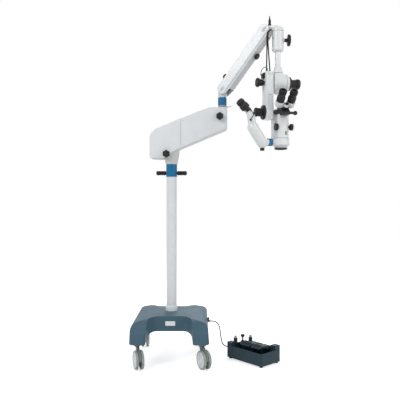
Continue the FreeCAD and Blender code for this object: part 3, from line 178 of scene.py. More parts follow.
def finish(name, colour, roughness=0.45, metallic=0.0, mottle=0.06, mottle_scale=14.0,
           grain=0.02, grain_scale=900.0, wear=None, coat=0.0, brushed=(1, 1, 1),
           soft_edge=0.0006, shine=0.5):
    """Surface with mottled colour, uneven gloss, grain, soft edges and, if asked, their wear."""
    material = bpy.data.materials.get(name)
    if material:
        return material
    material = bpy.data.materials.new(name)
    material.use_nodes = True
    tree = material.node_tree
    shader = tree.nodes["Principled BSDF"]
    shader.inputs["Metallic"].default_value = metallic
    shader.inputs["Specular IOR Level"].default_value = shine
    shader.inputs["Coat Weight"].default_value = coat
    shader.inputs["Coat Roughness"].default_value = 0.12
    place = tree.nodes.new("ShaderNodeTexCoord").outputs["Object"]
    stretched = add_node(tree, "Mapping", {"Vector": place, "Scale": brushed}).outputs["Vector"]

    cloud = add_node(tree, "TexNoise", {"Vector": place, "Scale": mottle_scale, "Detail": 4})
    tone = add_node(tree, "ValToRGB", {"Fac": cloud.outputs["Fac"]})
    darker = [part * (1 - mottle) for part in colour]
    lighter = [min(1.0, part * (1 + mottle) + mottle * 0.01) for part in colour]
    for stop, position, shade in zip(tone.color_ramp.elements, (0.3, 0.7), (darker, lighter)):
        stop.position = position
        stop.color = (*shade, 1)
    base_colour = tone.outputs["Color"]

    smear = add_node(tree, "TexNoise", {"Vector": stretched, "Scale": 38.0, "Detail": 6})
    gloss = add_node(tree, "MapRange", {
        "Value": smear.outputs["Fac"], "To Min": max(0.03, roughness * 0.82),
        "To Max": min(1.0, roughness * 1.2)})
    tree.links.new(gloss.outputs["Result"], shader.inputs["Roughness"])

    edge = add_node(tree, "Bevel", {"Radius": soft_edge}, samples=4)
    fine = add_node(tree, "TexNoise", {"Vector": stretched, "Scale": grain_scale, "Detail": 3})
    bump = add_node(tree, "Bump", {
        "Strength": min(1.0, grain * 10), "Distance": 0.0002,
        "Height": fine.outputs["Fac"], "Normal": edge.outputs["Normal"]})
    tree.links.new(bump.outputs["Normal"], shader.inputs["Normal"])

    if wear:
        flat = tree.nodes.new("ShaderNodeNewGeometry").outputs["Normal"]
        sharp = add_node(tree, "VectorMath", {0: edge.outputs["Normal"], 1: flat},
                         operation="DOT_PRODUCT")
        worn = add_node(tree, "MapRange", {
            "Value": sharp.outputs["Value"], "From Min": 0.99, "From Max": 0.80})
        patchy = add_node(tree, "Math", {0: worn.outputs["Result"], 1: smear.outputs["Fac"]},
                          operation="MULTIPLY")
        blend = add_node(tree, "Mix", {0: patchy.outputs["Value"], 6: base_colour, 7: (*wear, 1)},
                         data_type="RGBA")
        base_colour = blend.outputs[2]
    tree.links.new(base_colour, shader.inputs["Base Color"])
    return material


def enamel():
    """White enamel of the column and the arm covers."""
    return finish("white_enamel", settings("stand").white, 0.34, mottle=0.025, grain=0.010,
                  grain_scale=420, coat=0.25, wear=(0.86, 0.87, 0.87))


def cover_blue():
    """Slate blue moulding of the base."""
    return finish("base_moulding", settings("stand").cover_blue, 0.50, mottle=0.07, grain=0.05,
                  grain_scale=1500, wear=(0.17, 0.26, 0.31), soft_edge=0.0012, shine=0.22)


def ring_blue():
    """Bright blue of the joint rings."""
    return finish("blue_ring_paint", settings("stand").ring_blue, 0.38, mottle=0.05, grain=0.015,
                  coat=0.05, wear=(0.01, 0.20, 0.42), shine=0.3)


def bright_white():
    """Bright plastic of the foot collar; on the arm's seam strip this brightness is a painted
    highlight.
    """
    return finish("bright_plastic_and_highlight", (0.88, 0.90, 0.91), 0.30, mottle=0.02, grain=0.01, coat=0.4)


def body_white():
    """White lacquer of the microscope."""
    return finish("body_lacquer", settings("head").body_white, 0.36, mottle=0.03, grain=0.02,
                  grain_scale=1100, coat=0.15, wear=(0.87, 0.87, 0.86))


def pale_grey():
    """Pale grey structured lacquer; on the arms' undersides and the spring arm's channel it is
    partly painted shade.
    """
    return finish("pale_grey_lacquer_and_shade", (0.66, 0.68, 0.68), 0.46, mottle=0.04, grain=0.05,
                  grain_scale=1300, wear=(0.78, 0.79, 0.79))


def neck_grey():
    """Warm grey enamel of the neck."""
    return finish("neck_enamel", settings("stand").neck_grey, 0.40, mottle=0.05, grain=0.02,
                  wear=(0.75, 0.76, 0.74))


def knob_black():
    """Moulded black of knobs and hand-wheels."""
    return finish("knob_black_moulded", settings("head").knob_black, 0.46, mottle=0.20,
                  grain=0.06, grain_scale=1700, wear=(0.030, 0.030, 0.032), shine=0.3)


def satin_black():
    """Black anodised metal."""
    return finish("black_anodised", (0.012, 0.012, 0.014), 0.36, metallic=0.2, mottle=0.15,
                  grain=0.03, wear=(0.05, 0.05, 0.05), shine=0.35)


def rubber():
    """Black rubber of cords and eyecups."""
    return finish("black_rubber", (0.006, 0.006, 0.007), 0.62, mottle=0.25, grain=0.08,
                  grain_scale=1500, shine=0.25)


def tyre_rubber():
    """Grey tread of the caster wheels."""
    return finish("tyre_rubber", (0.36, 0.38, 0.37), 0.60, mottle=0.16, mottle_scale=60,
                  grain=0.10, wear=(0.44, 0.46, 0.45))


def hub_grey():
    """Pale moulded wheel centres."""
    return finish("hub_grey", (0.76, 0.78, 0.79), 0.40, mottle_scale=40, grain=0.04)


def hood_grey():
    """Grey-green moulded caster hoods."""
    return finish("hood_grey_green", (0.185, 0.215, 0.205), 0.50, mottle=0.08, grain=0.06,
                  wear=(0.26, 0.28, 0.27))


def steel():
    """Brushed steel."""
    return finish("brushed_steel", (0.50, 0.51, 0.52), 0.30, metallic=1.0, mottle=0.05,
                  grain=0.04, brushed=(1, 1, 14), wear=(0.70, 0.70, 0.70))


def cast_metal():
    """Grey painted castings."""
    return finish("grey_casting", (0.30, 0.31, 0.31), 0.50, metallic=0.1, mottle=0.07,
                  grain=0.10, grain_scale=700, wear=(0.48, 0.48, 0.48))


def bronze():
    """Bearing bronze."""
    return finish("bearing_bronze", (0.46, 0.30, 0.13), 0.34, metallic=1.0, mottle=0.10,
                  grain=0.03)


def tray_blue():
    """Dark blue moulding of the foot control."""
    return finish("tray_moulding", settings("pedal").tray_blue, 0.52, mottle=0.09, grain=0.06,
                  grain_scale=1200, wear=(0.08, 0.12, 0.14), shine=0.22)


def button_grey():
    """Light grey buttons."""
    return finish("button_grey", settings("pedal").button_grey, grain=0.05, wear=(0.6, 0.6, 0.6))


def plate_silver():
    """Blank label foil."""
    return finish("label_foil", (0.62, 0.64, 0.65), 0.30, metallic=0.55, mottle=0.04,
                  brushed=(30, 1, 1))


def coated_glass():
    """Lens glass with a faint coating."""
    material = finish("coated_glass", (0.10, 0.13, 0.20), 0.05, mottle=0.12, grain=0.0, coat=1.0,
                      soft_edge=0.0002)
    shader = material.node_tree.nodes["Principled BSDF"]
    shader.inputs["Transmission Weight"].default_value = 0.35
    shader.inputs["IOR"].default_value = 1.6
    return material


def dress(node, material, *zones):
    """Give a node its finish, with other finishes where a test of a face's centre holds."""
    mesh = frame["nodes"][node].data
    mesh.materials.clear()
    mesh.materials.append(material)
    for other, _ in zones:
        mesh.materials.append(other)
    for face in mesh.polygons:
        face.material_index = 0
        for index, (_, test) in enumerate(zones):
            if test(face.center):
                face.material_index = index + 1
    mesh.shade_smooth()
    mesh.set_sharp_from_angle(angle=radians(32))


# Forms

def add_object(name, data):
    """New object in the scene."""
    made = bpy.data.objects.new(name, data)
    bpy.context.scene.collection.objects.link(made)
    return made


def piece_from(name, bm, material, body, place=Matrix.Identity(4)):
    """Finish a mesh as a piece that rides on a body."""
    bmesh.ops.recalc_face_normals(bm, faces=bm.faces)
    bm.transform(place)
    mesh = bpy.data.meshes.new(name)
    bm.to_mesh(mesh)
    bm.free()
    mesh.materials.append(material)
    mesh.shade_smooth()
    mesh.set_sharp_from_angle(angle=radians(35))
    piece = add_object(name, mesh)
    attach(piece, body)
    return piece


def add_lathe(bm, profile, place=Matrix.Identity(4), segments=48, wobble=None):
    """Turn a profile of (radius, height) about z. A wobble's value is added to each radius."""
    rings = []
    for radius, height in profile:
        if not radius:
            rings.append([bm.verts.new(place @ Vector((0, 0, height)))])
            continue
        ring = []
        for step in range(segments):
            angle = 2 * pi * step / segments
            reach = radius + (wobble(angle, radius, height) if wobble else 0.0)
            spot = Vector((reach * cos(angle), reach * sin(angle), height))
            ring.append(bm.verts.new(place @ spot))
        rings.append(ring)
    for low, high in zip(rings, rings[1:]):
        for step in range(segments):
            after = (step + 1) % segments
            corners = [low[step % len(low)], low[after % len(low)],
                       high[after % len(high)], high[step % len(high)]]
            distinct = list(dict.fromkeys(corners))
            if len(distinct) > 2:
                bm.faces.new(distinct)


def lathe(name, profile, material, body, place, segments=48, wobble=None):
    """Turned piece."""
    bm = bmesh.new()
    add_lathe(bm, profile, segments=segments, wobble=wobble)
    return piece_from(name, bm, material, body, place)


def band(radius, rise, flank, width):
    """Profile of a raised band between two sloping flanks."""
    top = radius + rise
    return [(radius, 0), (top, flank), (top, width - flank), (radius, width)]


def knurl(count, depth):
    """Wobble of a knurled ring."""
    return lambda angle, radius, height: depth * sin(count * angle)


def along(point, direction, place=Matrix.Identity(4)):
    """Matrix with its z in a direction from a point, both given in a place's own frame."""
    turn = Vector(direction).to_track_quat("Z", "Y").to_matrix().to_4x4()
    return place @ Matrix.Translation(point) @ turn


def add_block(bm, size, place=Matrix.Identity(4), bevel=0.0006):
    """Block with softened edges, centred on its place."""
    made = bmesh.ops.create_cube(bm, size=1.0, matrix=place @ Matrix.Diagonal((*size, 1)))
    edges = dict.fromkeys(edge for vert in made["verts"] for edge in vert.link_edges)
    bmesh.ops.bevel(bm, geom=list(edges), offset=bevel, segments=2, profile=0.7, affect="EDGES")


def block(name, size, material, body, place, bevel=0.0006):
    """Softened block as a piece."""
    bm = bmesh.new()
    add_block(bm, size, bevel=bevel)
    piece_from(name, bm, material, body, place)


def screws(name, places, body, radius):
    """Group of like socket-head screws on one body, each standing on its place."""
    height = 0.0014
    socket = radius * 0.5
    head = [(0, 0), (radius, 0), (radius, height * 0.7), (radius * 0.85, height), (socket, height)]
    recess = [(socket * 1.1, height), (socket, height * 0.2), (0, height * 0.2)]
    bm = bmesh.new()
    for place in places:
        add_lathe(bm, head, place, 20)
        add_lathe(bm, recess, place, 6)
    piece_from(name, bm, steel(), body)


def route_curve(name, points, radius):
    """Smooth round cord of rubber along a route's control points."""
    curve = bpy.data.curves.new(name, "CURVE")
    curve.dimensions = "3D"
    spline = curve.splines.new("NURBS")
    spline.points.add(len(points) - 1)
    for point, place in zip(spline.points, points):
        point.co = (*place, 1)
    spline.order_u = 3
    spline.use_endpoint_u = True
    curve.resolution_u = 12
    curve.bevel_depth = radius
    curve.bevel_resolution = 5
    curve.materials.append(rubber())
    return add_object(name, curve)


def route_line(points):
    """Middle line of a cord's route and its length."""
    bare = route_curve("bare_route", points, 0.0)
    line = [vert.co.copy() for vert in bpy.data.meshes.new_from_object(bare).vertices]
    bpy.data.objects.remove(bare)
    return line, sum((after - before).length for before, after in zip(line, line[1:]))


# Base, casters and column

class MakeBase(bpy.types.Operator):
    """Finish the base cover and chassis, with the blank label and the screws of the cover"""
    bl_idname = "microscope.make_base"
    bl_label = "Base"

    def execute(self, context):
        dress("base_cover", cover_blue())
        dress("chassis_frame", cast_metal())
        dress("dimmer_knob", knob_black())
        label_z = 0.2175
        frame_y = -0.1424
        bar_depth, bar_width = 0.0012, 0.0014
        block("label_plate", (0.0545, 0.0008, 0.0255), plate_silver(), "stand",
              at(0, -0.1414, label_z), 0.0003)
        bm = bmesh.new()
        for x in (-0.0285, 0.0285):
            add_block(bm, (bar_width, bar_depth, 0.0290), at(x, frame_y, label_z), 0.0004)
        for z in (-0.0142, 0.0142):
            add_block(bm, (0.0584, bar_depth, bar_width), at(0, frame_y, label_z + z), 0.0004)
        piece_from("label_frame", bm, cover_blue(), "stand")
        claw_x, claw_y, claw_underside = 0.20, 0.262, 0.1320
        screws("cover_screws", [along((x, y, claw_underside), (0, 0, -1))
                                for x in (-claw_x, claw_x) for y in (-claw_y, claw_y)],
               "stand", radius=0.0035)
        return {"FINISHED"}


class MakeCasters(bpy.types.Operator):
    """Twin wheels with grooved tyres, moulded centres and hoods with their swivel rings"""
    bl_idname = "microscope.make_casters"
    bl_label = "Casters"

    def execute(self, context):
        rim = 0.050
        groove = rim - settings("stand").tread_depth
        tread = [(rim - 0.009, 0.0010), (rim - 0.003, 0.0010), (rim - 0.001, 0.0020),
                 (rim, 0.0040), (rim, 0.0060), (groove, 0.0064), (groove, 0.0070),
                 (rim, 0.0074), (rim, 0.0100), (rim - 0.0010, 0.0126),
                 (rim - 0.0030, 0.0142), (rim - 0.0085, 0.0134), (rim - 0.0090, 0.0128)]
        centre = [(rim - 0.0090, 0.0010), (rim - 0.0090, 0.0130), (rim - 0.0105, 0.0146),
                  (rim - 0.0135, 0.0150), (rim - 0.0155, 0.0120), (0.0200, 0.0112),
                  (0.0175, 0.0150), (0.0125, 0.0163), (0.0110, 0.0146), (0.0060, 0.0146),
                  (0, 0.0150)]
        swivel_ring = [(0.0150, 0), (0.0205, 0), (0.0212, 0.0008), (0.0212, 0.0030),
                       (0.0195, 0.0040), (0.0190, 0.0040)]
        spokes = 7
        wheel_gap = 0.0075
        hood_top, stem_foot = 0.1236, 0.1322
        for corner in ("front_left", "front_right", "rear_left", "rear_right"):
            spin = joints["roll_" + corner]
            middle = Vector(spin["pos_m"])
            axle = Vector(spin["axis"])
            tyres = bmesh.new()
            hubs = bmesh.new()
            for side in (-1, 1):
                place = along(middle + axle * (side * wheel_gap), axle * side)
                add_lathe(tyres, tread, place, 72)
                add_lathe(hubs, centre, place, 56)
                for spoke in range(spokes):
                    arm = place @ turned(360 * spoke / spokes, "Z") @ at(0.0268, 0, 0.0118)
                    add_block(hubs, (0.0140, 0.0036, 0.0024), arm, 0.0007)
            add_lathe(hubs, [(0.0048, -0.0100), (0.0048, 0.0100)], along(middle, axle), 20)
            body = "wheels_" + corner
            piece_from("tyres_" + corner, tyres, tyre_rubber(), body)
            hub_piece = piece_from("hubs_" + corner, hubs, hub_grey(), body)
            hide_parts("caster_wheels_" + corner)
            dress("caster_fork_" + corner, hood_grey(), (steel(), lambda p: p.z > stem_foot))
            swivel = joint_point("swivel_" + corner)
            lathe("swivel_ring_" + corner, swivel_ring, hood_grey(), "caster_" + corner,
                  at(swivel.x, swivel.y, hood_top), 40)
        return {"FINISHED"}


class MakeColumn(bpy.types.Operator):
    """Column, its collar and blue ring, and the push grips with their ribs"""
    bl_idname = "microscope.make_column"
    bl_label = "Column"

    def execute(self, context):
        dress("column_tube", enamel())
        dress("foot_collar", bright_white())
        dress("sleeve_ring", ring_blue())
        dress("column_bush", bronze())
        dress("push_grips", knob_black())
        rib = [(0.0110, -0.0010), (0.0126, -0.0006), (0.0128, 0), (0.0126, 0.0006),
               (0.0110, 0.0010)]
        bar_height, first_rib, rib_step = 1.054, 0.0415, 0.0036
        column_x = joint_point("arm_swing").x
        for name, side in (("left", -1), ("right", 1)):
            bm = bmesh.new()
            for index in range(settings("stand").grip_ribs):
                x = column_x + side * (first_rib + rib_step * index)
                add_lathe(bm, rib, along((x, 0, bar_height), (1, 0, 0)), 36)
            piece_from("grip_ribs_" + name, bm, rubber(), "stand")
        lathe("column_head_trim", band(0.0300, 0.0004, 0.0002, 0.0014), steel(), "stand",
              at(0, 0, 1.0308), 64)
        return {"FINISHED"}


# Arms

class MakeSwingArm(bpy.types.Operator):
    """Swing arm with its two covers, the seam between them with a painted highlight strip, screws
    and lobed lock knobs
    """
    bl_idname = "microscope.make_swing_arm"
    bl_label = "Swing arm"

    def execute(self, context):
        skirt_top, step_x, underside_z, neck_face = 1.137, -0.04, 1.1925, 1.1105
        split_x, split_z, slope = 0.051, 1.192, 0.42193

        def rear_underside_shade(p):
            return p.z < skirt_top or (p.x > step_x and p.z < underside_z)

        def front_underside_shade(p):
            return abs(p.z - (split_z + (p.x - split_x) * slope)) < 0.0025

        # The covers' lower faces get pale grey, darker than the white above: partly painted shade.
        dress("rear_cover", enamel(), (pale_grey(), rear_underside_shade))
        dress("front_cover", enamel(), (pale_grey(), front_underside_shade))
        dress("arm_beam", cast_metal(), (steel(), lambda p: p.z < neck_face))
        dress("arm_neck", neck_grey())
        dress("rear_lock_knob", knob_black())
        dress("front_lock_knob", knob_black())
        cap = [(0.0085, 0), (0.0085, 0.0006), (0.0075, 0.0012), (0, 0.0014)]
        for name in ("rear", "front"):
            spot = joint_point(name + "_lock_turn")
            spot.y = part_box(name + "_lock_knob")[0].y
            lathe("knob_cap_" + name, cap, satin_black(), name + "_lock",
                  along(spot, (0, -1, 0)), 32)
        cover_half_width = 0.0470
        corners = ((0.066, 1.350), (0.066, 1.214), (0.306, 1.412), (0.306, 1.318))
        screws("arm_cover_screws", [along((x, side * cover_half_width, z), (0, side, 0))
                                    for side in (-1, 1) for x, z in corners],
               "swing_arm", radius=0.0026)
        # Thin bright strip across the arm at the seam: a painted highlight on the lit edge of the
        # step between the covers.
        bm = bmesh.new()
        add_block(bm, (0.0012, 0.0960, 0.1620), at(split_x, 0, 1.2790), 0.0003)
        piece_from("arm_seam_highlight_strip", bm, bright_white(), "swing_arm")
        return {"FINISHED"}


class MakePost(bpy.types.Operator):
    """Post with its blue ring and lock screw"""
    bl_idname = "microscope.make_post"
    bl_label = "Post"

    def execute(self, context):
        shoulder = 1.4455
        dress("post_fork", pale_grey(), (steel(), lambda p: p.z < shoulder))
        dress("post_ring", ring_blue())
        dress("post_lock_screw", steel())
        return {"FINISHED"}


class MakeSpringArm(bpy.types.Operator):
    """Spring arm: shell, channel, pivot caps, screws and the tie bar of its parallelogram"""
    bl_idname = "microscope.make_spring_arm"
    bl_label = "Spring arm"

    def execute(self, context):
        dress("spring_arm_cover", enamel())
        # The channel under the spring arm is pale grey, partly painted shade of the arm's
        # underside.
        dress("spring_arm_channel", pale_grey())
        dress("gas_spring", satin_black())
        dress("tie_rod", cast_metal())
        dress("tension_knob", knob_black())
        dress("brake_knob", knob_black())
        cap_profile = [(0, 0.0022), (0.0075, 0.0022), (0.0096, 0.0016), (0.0104, 0)]
        cap_stretch = Matrix.Diagonal((1.75, 1, 1, 1))
        half_width, upper_end, screw_z = 0.0375, 0.395, -0.013
        for side, name in ((-1, "near"), (1, "far")):
            outward = turned(-90 * side, "X")
            for x, end in ((0.0, "lower"), (upper_end, "upper")):
                cap = arm_frame @ at(x, side * half_width, 0) @ outward
                bm = bmesh.new()
                add_lathe(bm, cap_profile, cap @ cap_stretch, 40)
                piece_from("pivot_cap_" + end + "_" + name, bm, pale_grey(), "spring_arm")
                block("pivot_slot_" + end + "_" + name, (0.0120, 0.0014, 0.0006), satin_black(),
                      "spring_arm", cap @ at(0, 0, 0.0023), 0.0002)
            screws("arm_shell_screws_" + name,
                   [arm_frame @ at(x, side * half_width, screw_z) @ outward
                    for x in (0.060, 0.200, 0.335)], "spring_arm", radius=0.0024)
        lathe("tension_knob_cap", [(0.0085, -0.0006), (0.0080, 0.0004), (0, 0.0007)],
              satin_black(), "tension", arm_frame @ at(0.064, 0, 0.0545), 32)
        return {"FINISHED"}


class MakeCarrier(bpy.types.Operator):
    """Head carrier with its bearing housing, star knob, plug and the two cables to the box"""
    bl_idname = "microscope.make_carrier"
    bl_label = "Head carrier"

    def execute(self, context):
        housing_radius, knob_neck = 0.0324, 0.0345
        dress("carrier_bracket", pale_grey(),
              (body_white(), lambda p: (p - pole_axis).xy.length < knob_neck))
        dress("bearing_housing", body_white())
        dress("star_knob", knob_black(), (steel(), lambda p: p.x < pole_axis.x + knob_neck))
        spot = joint_point("star_turn")
        spot.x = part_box("star_knob")[1].x - 0.0005
        lathe("star_knob_cap", [(0.0110, -0.0008), (0.0108, 0), (0.0095, 0.0004), (0, 0.0005)],
              satin_black(), "star", along(spot, (1, 0, 0)), 40)
        lathe("housing_groove", band(0.0326, 0.0003, 0.0003, 0.0014), satin_black(),
              "head_carrier", at(*pole_axis.xy, 1.8246), 64)
        outward = turned(215, "Z") @ Vector((1, 0, 0))
        screws("housing_screw", [along(Vector((*pole_axis.xy, 1.785)) + outward * housing_radius,
                                       outward)], "head_carrier", radius=0.0050)
        plug = self.make_plug()
        self.make_cables()
        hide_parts("head_cables")
        self.make_lamp_lead()
        return {"FINISHED"}

    def make_plug(self):
        """Plug of the cables, with a knurled nut, on the carrier's outlet."""
        seat = upper_pivot + turned(arm_yaw, "Z") @ Vector((0.021, 0, 0.020))
        profile = [(0, 0), (0.0090, 0), (0.0090, 0.0030), (0.0086, 0.0034), (0.0090, 0.0038),
                   (0.0090, 0.0150), (0.0082, 0.0162), (0.0070, 0.0170), (0.0070, 0.0220),
                   (0.0074, 0.0226), (0.0074, 0.0300), (0.0070, 0.0306), (0.0070, 0.0355),
                   (0.0055, 0.0405), (0.0042, 0.0440), (0.0030, 0.0520), (0.0017, 0.0612),
                   (0, 0.0618)]
        nut = knurl(24, 0.00022)
        return lathe("cable_plug", profile, knob_black(), "head_carrier",
                     Matrix.Translation(seat), 72,
                     lambda angle, radius, height:
                     nut(angle, radius, height) if 0.022 < height < 0.0305 else 0.0)

    def make_cables(self):
        """Two cables that bend between the carrier's outlet and the focus box."""
        routes = {
            "left": ((0.55212, -0.15152, 1.83155), (0.53936, -0.15842, 1.82478),
                     (0.53101, -0.16294, 1.80833), (0.52969, -0.16365, 1.78133),
                     (0.5294, -0.16526, 1.74386), (0.52893, -0.16634, 1.70298),
                     (0.52843, -0.16496, 1.6655), (0.52798, -0.16214, 1.63485),
                     (0.52761, -0.16189, 1.611)),
            "right": ((0.55573, -0.15821, 1.83155), (0.54298, -0.1651, 1.82478),
                      (0.53462, -0.16962, 1.80833), (0.5333, -0.17033, 1.78133),
                      (0.5351, -0.16961, 1.74386), (0.538, -0.16813, 1.70298),
                      (0.54111, -0.16441, 1.6655), (0.5439, -0.15968, 1.63485),
                      (0.5462, -0.15794, 1.611)),
        }
        radius = settings("head").cable_radius
        for name, points in routes.items():
            line, length = route_line(points)
            curve = route_curve("head_route_" + name, points, radius)
            tube = bpy.data.meshes.new_from_object(curve)
            bpy.data.objects.remove(curve)
            tube.materials.clear()
            tube.materials.append(rubber())
            tube.shade_smooth()
            cable = add_object("head_cable_" + name, tube)
            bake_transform(cable)
            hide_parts("head_cables")

    def make_lamp_lead(self):
        """Thin lead from the lamp holder over to the top of the focus box."""
        radius = 0.0019
        points = [tuple(head_frame @ Vector(place)) for place in (
            (-0.0980, 0.0000, 1.5790), (-0.0985, -0.0020, 1.5980), (-0.0920, -0.0080, 1.6160),
            (-0.0790, -0.0120, 1.6250), (-0.0640, -0.0140, 1.6200), (-0.0605, -0.0140, 1.5975))]
        lead = route_curve("lamp_lead", points, radius)
        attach(lead, "head")
        route_line(points)[1]


# Head

def hand_wheel(name, lengths, radii, place, body, node, shaft_reach):
    """Hand-wheel with fluted flanges and a stepped barrel, on its shaft."""
    flange, barrel_end, top = lengths
    inner, barrel, outer = radii
    middle = (flange + barrel_end) / 2
    profile = [(0, 0), (inner - 0.0024, 0), (inner - 0.0008, 0.0006), (inner, 0.0020),
               (inner, flange - 0.0020), (inner - 0.0008, flange - 0.0006),
               (inner - 0.0024, flange), (barrel + 0.0010, flange), (barrel, flange + 0.0012),
               (barrel, middle - 0.0006), (barrel - 0.0006, middle), (barrel, middle + 0.0006),
               (barrel, barrel_end), (outer - 0.0012, barrel_end), (outer, barrel_end + 0.0016),
               (outer, top - 0.0034), (outer - 0.0012, top - 0.0016), (outer - 0.0036, top),
               (outer - 0.0070, top), (outer - 0.0082, top - 0.0010), (0.0100, top - 0.0010),
               (0.0092, top), (0, top)]
    count = settings("head").flutes
    smooth_radius, flute_depth = 0.0245, 0.0007

    def flutes(angle, radius, height):
        depth = flute_depth if radius > smooth_radius else 0.0
        return -depth * max(0.0, cos(count * angle)) ** 2

    wheel = lathe(name, profile, knob_black(), body, place, count * 4, flutes)
    shaft = bmesh.new()
    add_lathe(shaft, [(0, -shaft_reach), (0.0060, -shaft_reach), (0.0060, 0.0005)], place, 32)
    piece_from(name + "_shaft", shaft, steel(), body)
    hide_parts(node)


class MakeDrive(bpy.types.Operator):
    """Pole, drive housing, focus box with its cap and seams, lamp holder and hand-wheels"""
    bl_idname = "microscope.make_drive"
    bl_label = "Focus drive"

    def execute(self, context):
        journal_z, journal_radius, cap_z = 1.712, 0.0152, 1.5975
        drive_z, half_width = 1.541, 0.0380
        dress("pole", body_white(),
              (steel(), lambda p: p.z > journal_z
               and (p - pole_axis).xy.length < journal_radius))
        dress("drive_housing", body_white())
        dress("focus_box", body_white(), (rubber(), lambda p: p.z > cap_z))
        dress("focus_carriage", steel())
        dress("lamp_holder", knob_black())
        hand_wheel("focus_hand_wheel", (0.014, 0.050, 0.070), (0.038, 0.024, 0.028),
                   along((0.0553, 0, drive_z), (1, 0, 0), head_frame),
                   "focus_knob", "focus_wheel", 0.070)
        hand_wheel("tilt_hand_wheel", (0.012, 0.040, 0.054), (0.039, 0.023, 0.025),
                   along((-0.0793, 0, 1.378), (-1, 0, 0), head_frame),
                   "tilt_knob", "tilt_wheel", 0.014)
        bm = bmesh.new()
        for y in (-0.0383, 0.0383):
            for z in (1.4705, 1.5810):
                add_block(bm, (0.0300, 0.0006, 0.0010), head_frame @ at(-0.057, y, z), 0.0002)
        piece_from("box_seams", bm, satin_black(), "head")
        screws("box_screws", [along((x, y, z), (0, y, 0), head_frame) for x in (-0.070, -0.044)
                              for y in (-half_width, half_width)
                              for z in (1.354, 1.458, 1.590)], "head", radius=0.0022)
        lathe("drive_groove", band(0.0521, 0.0003, 0.0003, 0.0013), satin_black(), "head",
              along((0.036, 0, drive_z), (1, 0, 0), head_frame), 72)
        lathe("collar_trim", band(0.0296, 0.0004, 0.0004, 0.0022), satin_black(), "head",
              head_frame @ at(0, 0, 1.5935), 56)
        holder = along((-0.0980, 0, drive_z), (-1, 0, 0), head_frame)
        fins = bmesh.new()
        for angle in range(0, 360, 60):
            add_block(fins, (0.0012, 0.0050, 0.0150),
                      holder @ turned(angle, "Z") @ at(0.0182, 0, 0.004), 0.0004)
        piece_from("lamp_fins", fins, satin_black(), "head")
        return {"FINISHED"}


class MakeScope(bpy.types.Operator):
    """Zoom body, drum, objective ring and lens, binocular hub and the switch"""
    bl_idname = "microscope.make_scope"
    bl_label = "Microscope body"

    def execute(self, context):
        body_foot, lens_radius, lens_z, ring_top = 1.2365, 0.0308, 1.1863, 1.1865
        dress("scope_body", body_white(), (pale_grey(), lambda p: p.z < body_foot))
        dress("objective_drum", body_white())
        dress("objective_ring", satin_black(),
              (coated_glass(), lambda p: p.z > lens_z
               and (p - optical_axis).xy.length < lens_radius),
              (body_white(), lambda p: p.z > ring_top))
        dress("binocular_hub", satin_black())
        dress("zoom_knobs", knob_black())
        zoom_y, zoom_z = -0.036, 1.296
        ribs = bmesh.new()
        for side, x in ((-1, -0.0288), (1, 0.0715)):
            knob = along((x, zoom_y, zoom_z), (side, 0, 0), head_frame)
            for angle in range(0, 360, 20):
                add_block(ribs, (0.0007, 0.0022, 0.0110),
                          knob @ turned(angle, "Z") @ at(0.0181, 0, -0.0015), 0.0003)
        piece_from("zoom_knob_ribs", ribs, knob_black(), "zoom")
        front_y, switch_x, switch_z = -0.0522, 0.030, 1.262
        block("switch_frame", (0.0100, 0.0020, 0.0170), satin_black(), "scope",
              head_frame @ at(switch_x, front_y, switch_z))
        block("switch_rocker", (0.0066, 0.0022, 0.0120), button_grey(), "scope",
              head_frame @ at(switch_x, front_y - 0.0012, switch_z) @ turned(8, "X"))
        lathe("objective_rib", band(0.0351, 0.0005, 0.0004, 0.0034), satin_black(), "scope",
              at(*optical_axis.xy, 1.1775), 96, knurl(48, 0.0003))
        lathe("drum_groove", band(0.0451, 0.0003, 0.0003, 0.0014), satin_black(), "scope",
              at(*optical_axis.xy, 1.2340), 72)
        screws("body_screws", [along((x, front_y, 1.345), (0, -1, 0), head_frame)
                               for x in (0.0, 0.028)], "scope", radius=0.0022)
        return {"FINISHED"}


class MakeOculars(bpy.types.Operator):
    """Inclined oculars with dioptre rings, rolled eyecups and coated eye lenses"""
    bl_idname = "microscope.make_oculars"
    bl_label = "Oculars"

    def execute(self, context):
        eye_offset, hinge_radius = 0.031, 0.040
        rise = (hinge_radius ** 2 - eye_offset ** 2) ** 0.5
        eyecup = [(0.0208, 0), (0.0216, 0.0010), (0.0217, 0.0100), (0.0210, 0.0150),
                  (0.0196, 0.0180), (0.0180, 0.0187), (0.0160, 0.0178), (0.0140, 0.0160),
                  (0.0131, 0.0120)]
        for name, side, body in (("left", -1, "ocular_l"), ("right", 1, "ocular_r")):
            axis_place = ocular_frame @ at(side * eye_offset, rise, 0)

            def within(height, radius, back=axis_place.inverted()):
                return lambda p: (back @ p).z > height and (back @ p).xy.length < radius

            dress("ocular_" + name, body_white(), (satin_black(), within(0.0161, 0.0235)),
                  (coated_glass(), within(0.0715, 0.0126)))
            lathe("dioptre_ring_" + name, band(0.0219, 0.0006, 0.0008, 0.0128), knob_black(),
                  body, axis_place @ at(0, 0, 0.0300), 144, knurl(36, 0.00025))
            lathe("eyecup_" + name, eyecup, rubber(), body,
                  axis_place @ at(0, 0, 0.0675), 64)
            lathe("prism_disc_" + name,
                  [(0.0100, -0.0012), (0.0100, 0.0002), (0.0088, 0.0008), (0, 0.0008)],
                  satin_black(), body,
                  axis_place @ at(0, 0, -0.0140) @ turned(180, "X"), 40)
        return {"FINISHED"}


